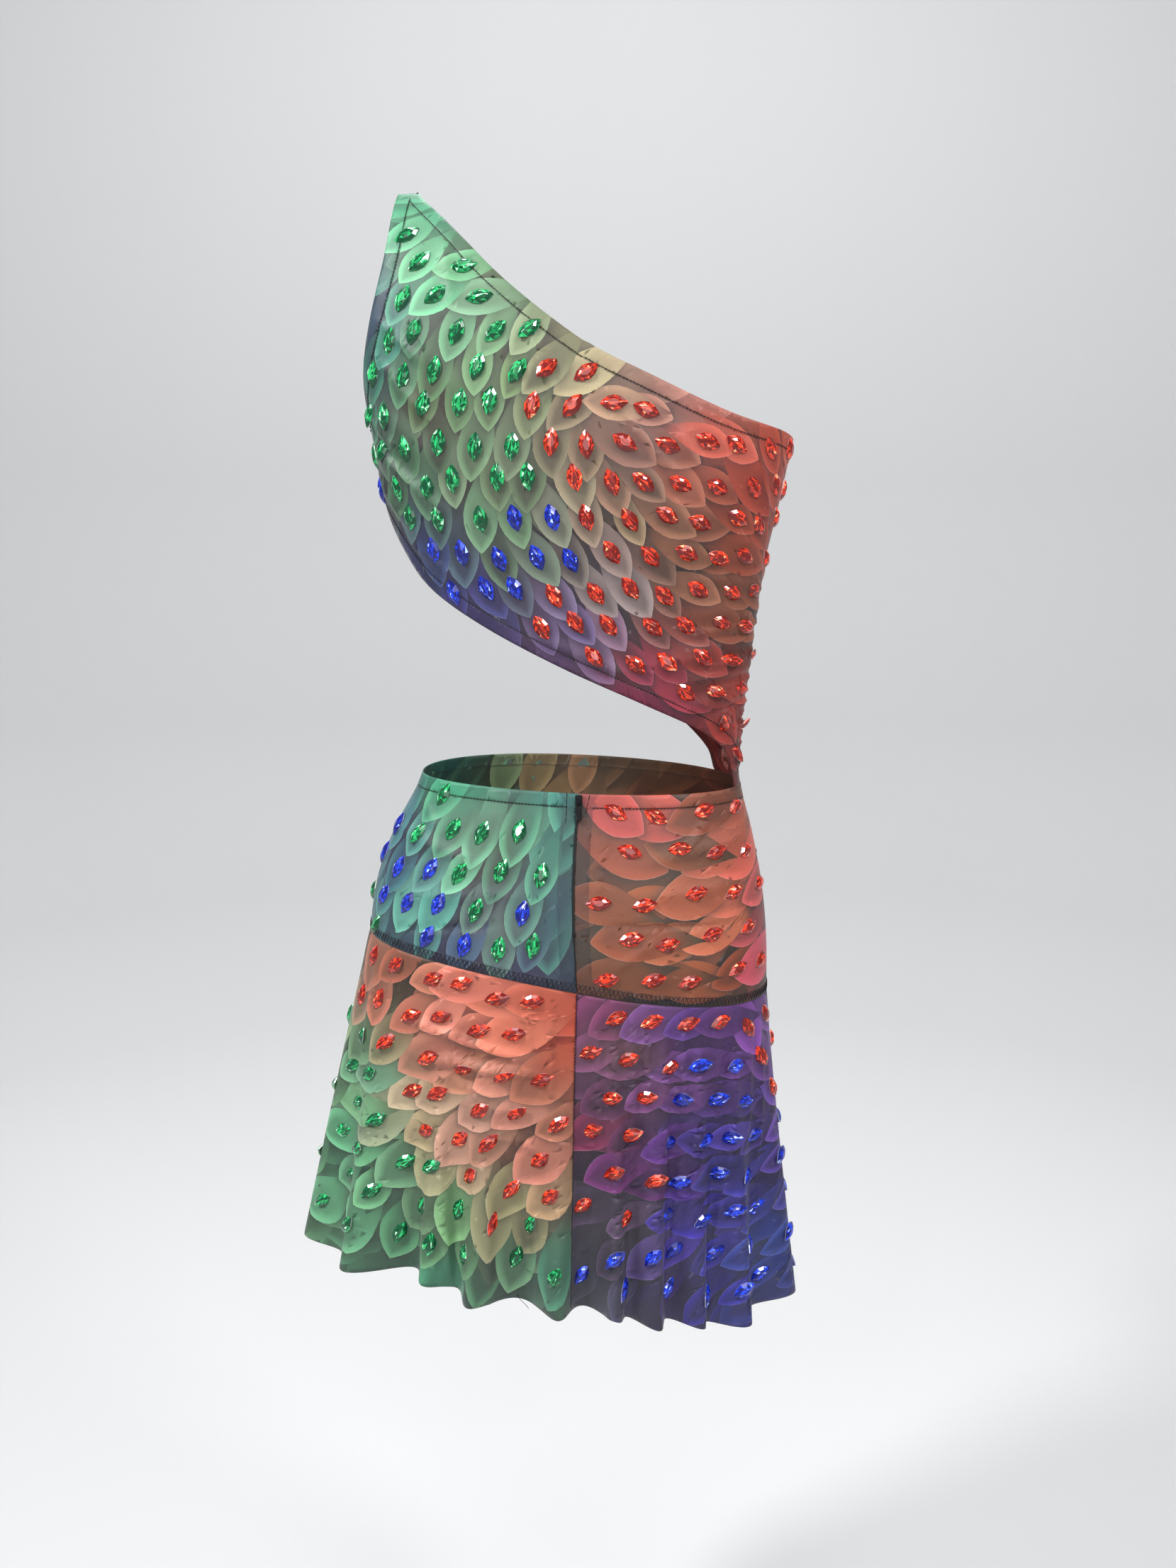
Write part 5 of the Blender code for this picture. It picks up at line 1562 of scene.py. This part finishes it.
def set_stones(stones, finishes):
    """All stones of one colour as one mesh, with a painted reflection brightness for every facet."""
    model = cut_stone()
    for seed, (colour, frames) in enumerate(stones.items()):
        mesh = joined("stones_" + colour, model, frames, finishes[colour], "stone_" + colour).data
        draw = np.random.default_rng(FACET_SEED + seed)
        facet = mesh.attributes.new("facet", "FLOAT", "FACE")
        painted_facet_light = np.clip(draw.beta(0.9, 1.3, len(mesh.polygons)), 0, 1)
        facet.data.foreach_set("value", painted_facet_light.astype(np.float32))
        rise = mesh.attributes.new("rise", "FLOAT", "POINT")
        heights = np.tile(model[0][:, 2] / model[0][:, 2].max(), len(frames))
        rise.data.foreach_set("value", heights.astype(np.float32))


def stitch_hems(panels, finishes):
    """Black topstitching along the turned edges."""
    frames = []
    for panel, hems in panels:
        for edge in hems:
            line = inner_line(edge, panel.loop, HEM_TURN)
            frames += stitches_along(panel.place, line, panel.from_front, STITCH * HEM_PITCH, HEM_LIFT)
    joined("topstitching", stitch_model(STITCH, 0.55 * MM), frames, finishes["thread"])


def stitch_seams(finishes):
    """Overlocking along the hip seam and stitches of the centre-back seam."""
    overlock, seam = [], []
    for from_front in (False, True):
        reach = side_of(HIP_DOWN, from_front)
        above = lambda off: np.array(
            [(u, hip_down(u, from_front) - off * MM) for u in np.linspace(-reach, reach, 200)]
        )
        line = above(OVERLOCK_ABOVE)
        overlock += stitches_along(yoke_surface, line, from_front, 1.7 * MM, HEM_LIFT, turn=1.3)
        for off in SEAM_ABOVE:
            seam += stitches_along(yoke_surface, above(off), from_front, STITCH * SEAM_PITCH, SEAM_LIFT)
        waist = np.array([(u, waist_down(u, from_front) + 1.2 * MM) for u in np.linspace(-0.16, -0.116, 30)])
        seam += stitches_along(yoke_surface, waist, from_front, STITCH * SEAM_PITCH, SEAM_LIFT)
    drops = np.linspace(2 * MM, DROP - 2 * MM, 120)
    line = np.stack([np.full(120, -CENTRE_SWING), drops], axis=1)
    seam += stitches_along(skirt_surface, line, False, STITCH * SEAM_PITCH, 0.6 * MM)
    joined("hip_overlocking", stitch_model(5.8 * MM, 0.5 * MM), overlock, finishes["overlock"])
    joined("seam_stitching", stitch_model(STITCH, 0.5 * MM), seam, finishes["thread"])


def ribbon(name, line, width, lift, thick, finish):
    """A narrow strip laid on the back of the yoke along a line."""
    rows = []
    for u, v in (beside(line, width / 2).T, line.T, beside(line, -width / 2).T):
        rows.append(yoke_surface(u, v, False) + outward(yoke_surface, u, v, False) * lift)
    points = np.stack(rows, axis=1).reshape(-1, 3)
    corners = [3 * k + c for k in range(len(line) - 1) for c in (0, 1)]
    piece = new_piece(name, points, [(k, k + 1, k + 4, k + 3) for k in corners], finish)
    thicken(piece, thick)
    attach(piece, "dress")


def finish_ends(finishes):
    """The bar of thread at the shoulder point and the loose thread at the hem."""
    spots = [(u, 1.6, math.pi / 2, 0.8) for u in (118, 120.4, 122.8)]
    spots += [(117, v, 0.2, 0.9) for v in (3.4, 5.2, 7.0)]
    bar = [frames_on(bodice_surface, u * MM, v * MM, lean, False, lift * MM)[0] for u, v, lean, lift in spots]
    joined("shoulder_bar", stitch_model(STITCH * 1.6, 0.8 * MM), bar, finishes["thread"])
    drops = DROP + np.array((-2.0, 0.5, 3.0, 5.5, 8.0)) * MM
    line = np.stack([np.array((31, 30, 28, 24.5, 22)) * MM, drops], axis=1)
    thread = stitches_along(skirt_surface, line, False, 1.6 * MM, 0.8 * MM)
    joined("loose_thread", stitch_model(2.2 * MM, 0.4 * MM), thread, finishes["thread"])


def dress_zip(finishes):
    """The zip: its closed edge, the bartack, the basting threads, and finishes for slider, tab and tapes."""
    thread = finishes["thread"]
    downs = np.linspace(WAIST_DOWN + 0.0045, WAIST_DOWN + ZIP_LENGTH, 40)
    line = np.stack([centre_back(downs), downs], axis=1)
    ribbon("zip_closed_edge", line, 1.8 * MM, 0.7 * MM, 0.7 * MM, thread)
    foot = np.linspace(WAIST_DOWN + ZIP_LENGTH, HIP_DOWN, 24)
    rest = np.stack([centre_back(foot), foot], axis=1)
    frames = stitches_along(yoke_surface, rest, False, STITCH * SEAM_PITCH, 0.6 * MM)
    for k in range(5):
        v = WAIST_DOWN + ZIP_LENGTH + 0.6 * MM * k
        frames += frames_on(yoke_surface, centre_back(v), v, math.pi / 2, False, 0.9 * MM)
    joined("bartack", stitch_model(STITCH * 1.3, 0.6 * MM), frames, thread)
    basting = []
    for ends in (((8.5, 444), (7, 457)), ((-7.5, 446), (-6.5, 459)), ((7, 457), (6.6, 466))):
        basting += stitches_along(yoke_surface, np.array(ends) * MM, False, 4.6 * MM, 0.7 * MM)
    joined("basting_threads", stitch_model(5.2 * MM, 0.5 * MM), basting, thread)
    for node, finish in (
        ("zip_slider", enamel("slider_black_enamel")),
        ("zip_pull_tab", enamel("tab_black_enamel")),
        ("zip_tapes", tape_finish("zip_tape_weave")),
    ):
        bpy.data.objects[node].material_slots[0].material = finish


# Studio

MIDDLE = (-SHOULDER_ACROSS, 0, -0.4)
# name, place, aim, size, watts
LIGHTS = (
    ("key", (1.1, 0.75, 1.05), MIDDLE, 0.3, 54),
    ("fill", (-1.2, 0.8, 0.9), MIDDLE, 0.35, 20),
    ("front", (-0.3, 1.7, 0.1), MIDDLE, 1.0, 8),
    ("rim", (-0.2, -1.2, 1.0), MIDDLE, 0.8, 14),
    ("backdrop", (-0.123, -1.6, 2.6), (-0.123, -4, -0.6), 2.0, 92),
    ("backdrop_front", (-0.123, 1.8, 2.8), (-0.123, 4, -0.6), 2.0, 80),
    ("backdrop_left", (1.8, 0, 2.8), (4, 0, -0.6), 2.0, 18),
    ("backdrop_right", (-2.05, 0, 2.8), (-4.25, 0, -0.6), 2.0, 18),
    ("sparkle_left", (0.35, 1.5, 0.3), MIDDLE, 0.12, 3.2),
    ("sparkle_right", (-0.7, 1.3, 0.35), MIDDLE, 0.10, 2.6),
)
# Floor and curved backdrop: reach from the middle and rise above the floor, in metres
FLOOR_RINGS = ((0.01, 0), (2.2, 0), (3.0, 0.12), (3.7, 0.6), (4.1, 1.5), (4.2, 4.0))
FLOOR_LEVEL, FLOOR_SIDES = -1.42, 48
PHOTO_HEIGHT, FOCAL_LENGTH = 2212, 1671
CAMERA_PLACE, CAMERA_TILT = (-SHOULDER_ACROSS, 0.88, -0.2517), 90 - 10.4


def light(name, place, aim, size, power):
    lamp = bpy.data.lights.new(name, "AREA")
    lamp.shape, lamp.size, lamp.energy = "DISK", size, power
    thing = bpy.data.objects.new(name, lamp)
    bpy.context.scene.collection.objects.link(thing)
    thing.location = place
    thing.rotation_euler = (Vector(aim) - Vector(place)).to_track_quat("-Z", "Y").to_euler()


def build_studio():
    for row in LIGHTS:
        light(*row)
    world = bpy.data.worlds.new("studio")
    bpy.context.scene.world = world
    world.use_nodes = True
    world.node_tree.nodes["Background"].inputs["Color"].default_value = (0.86, 0.87, 0.88, 1)
    world.node_tree.nodes["Background"].inputs["Strength"].default_value = 0.34
    count, points, faces = FLOOR_SIDES, [], []
    for reach, rise in FLOOR_RINGS:
        for k in range(count):
            turn = math.tau * k / count
            points.append((MIDDLE[0] + reach * math.cos(turn), reach * math.sin(turn), FLOOR_LEVEL + rise))
    for first in range(0, len(points) - count, count):
        for k in range(count):
            j = (k + 1) % count
            faces.append((first + k, first + j, first + count + j, first + count + k))
    faces.append(tuple(range(count))[::-1])
    paint = Finish("floor_paint").set(Base_Color=(0.5, 0.503, 0.51, 1), Roughness=0.9)
    floor = new_piece("floor", points, faces, paint)
    floor.data.polygons.foreach_set("use_smooth", np.ones(len(faces), bool))


def place_camera():
    camera = bpy.data.cameras.new("camera")
    camera.sensor_fit, camera.sensor_height = "VERTICAL", 36
    camera.lens = FOCAL_LENGTH / PHOTO_HEIGHT * camera.sensor_height
    thing = bpy.data.objects.new("camera", camera)
    bpy.context.scene.collection.objects.link(thing)
    thing.location = CAMERA_PLACE
    thing.rotation_euler = (math.radians(CAMERA_TILT), 0, math.pi)
    bpy.context.scene.camera = thing
    bpy.context.scene.view_settings.view_transform = "Standard"


def main():
    place_camera()
    build_studio()
    finishes = collect_finishes()
    stones = {"green": [], "red": [], "blue": []}
    hemmed = []
    for seed, (panel, placed, hems) in enumerate([*bodice_panels(), *yoke_panels(), *skirt_panels()]):
        for colour, frames in sew(panel, placed, hems, finishes, CLOTH_SEED + seed).items():
            stones[colour] += frames
        hemmed.append((panel, hems))
    set_stones(stones, finishes)
    stitch_hems(hemmed, finishes)
    stitch_seams(finishes)
    dress_zip(finishes)
    finish_ends(finishes)


main()
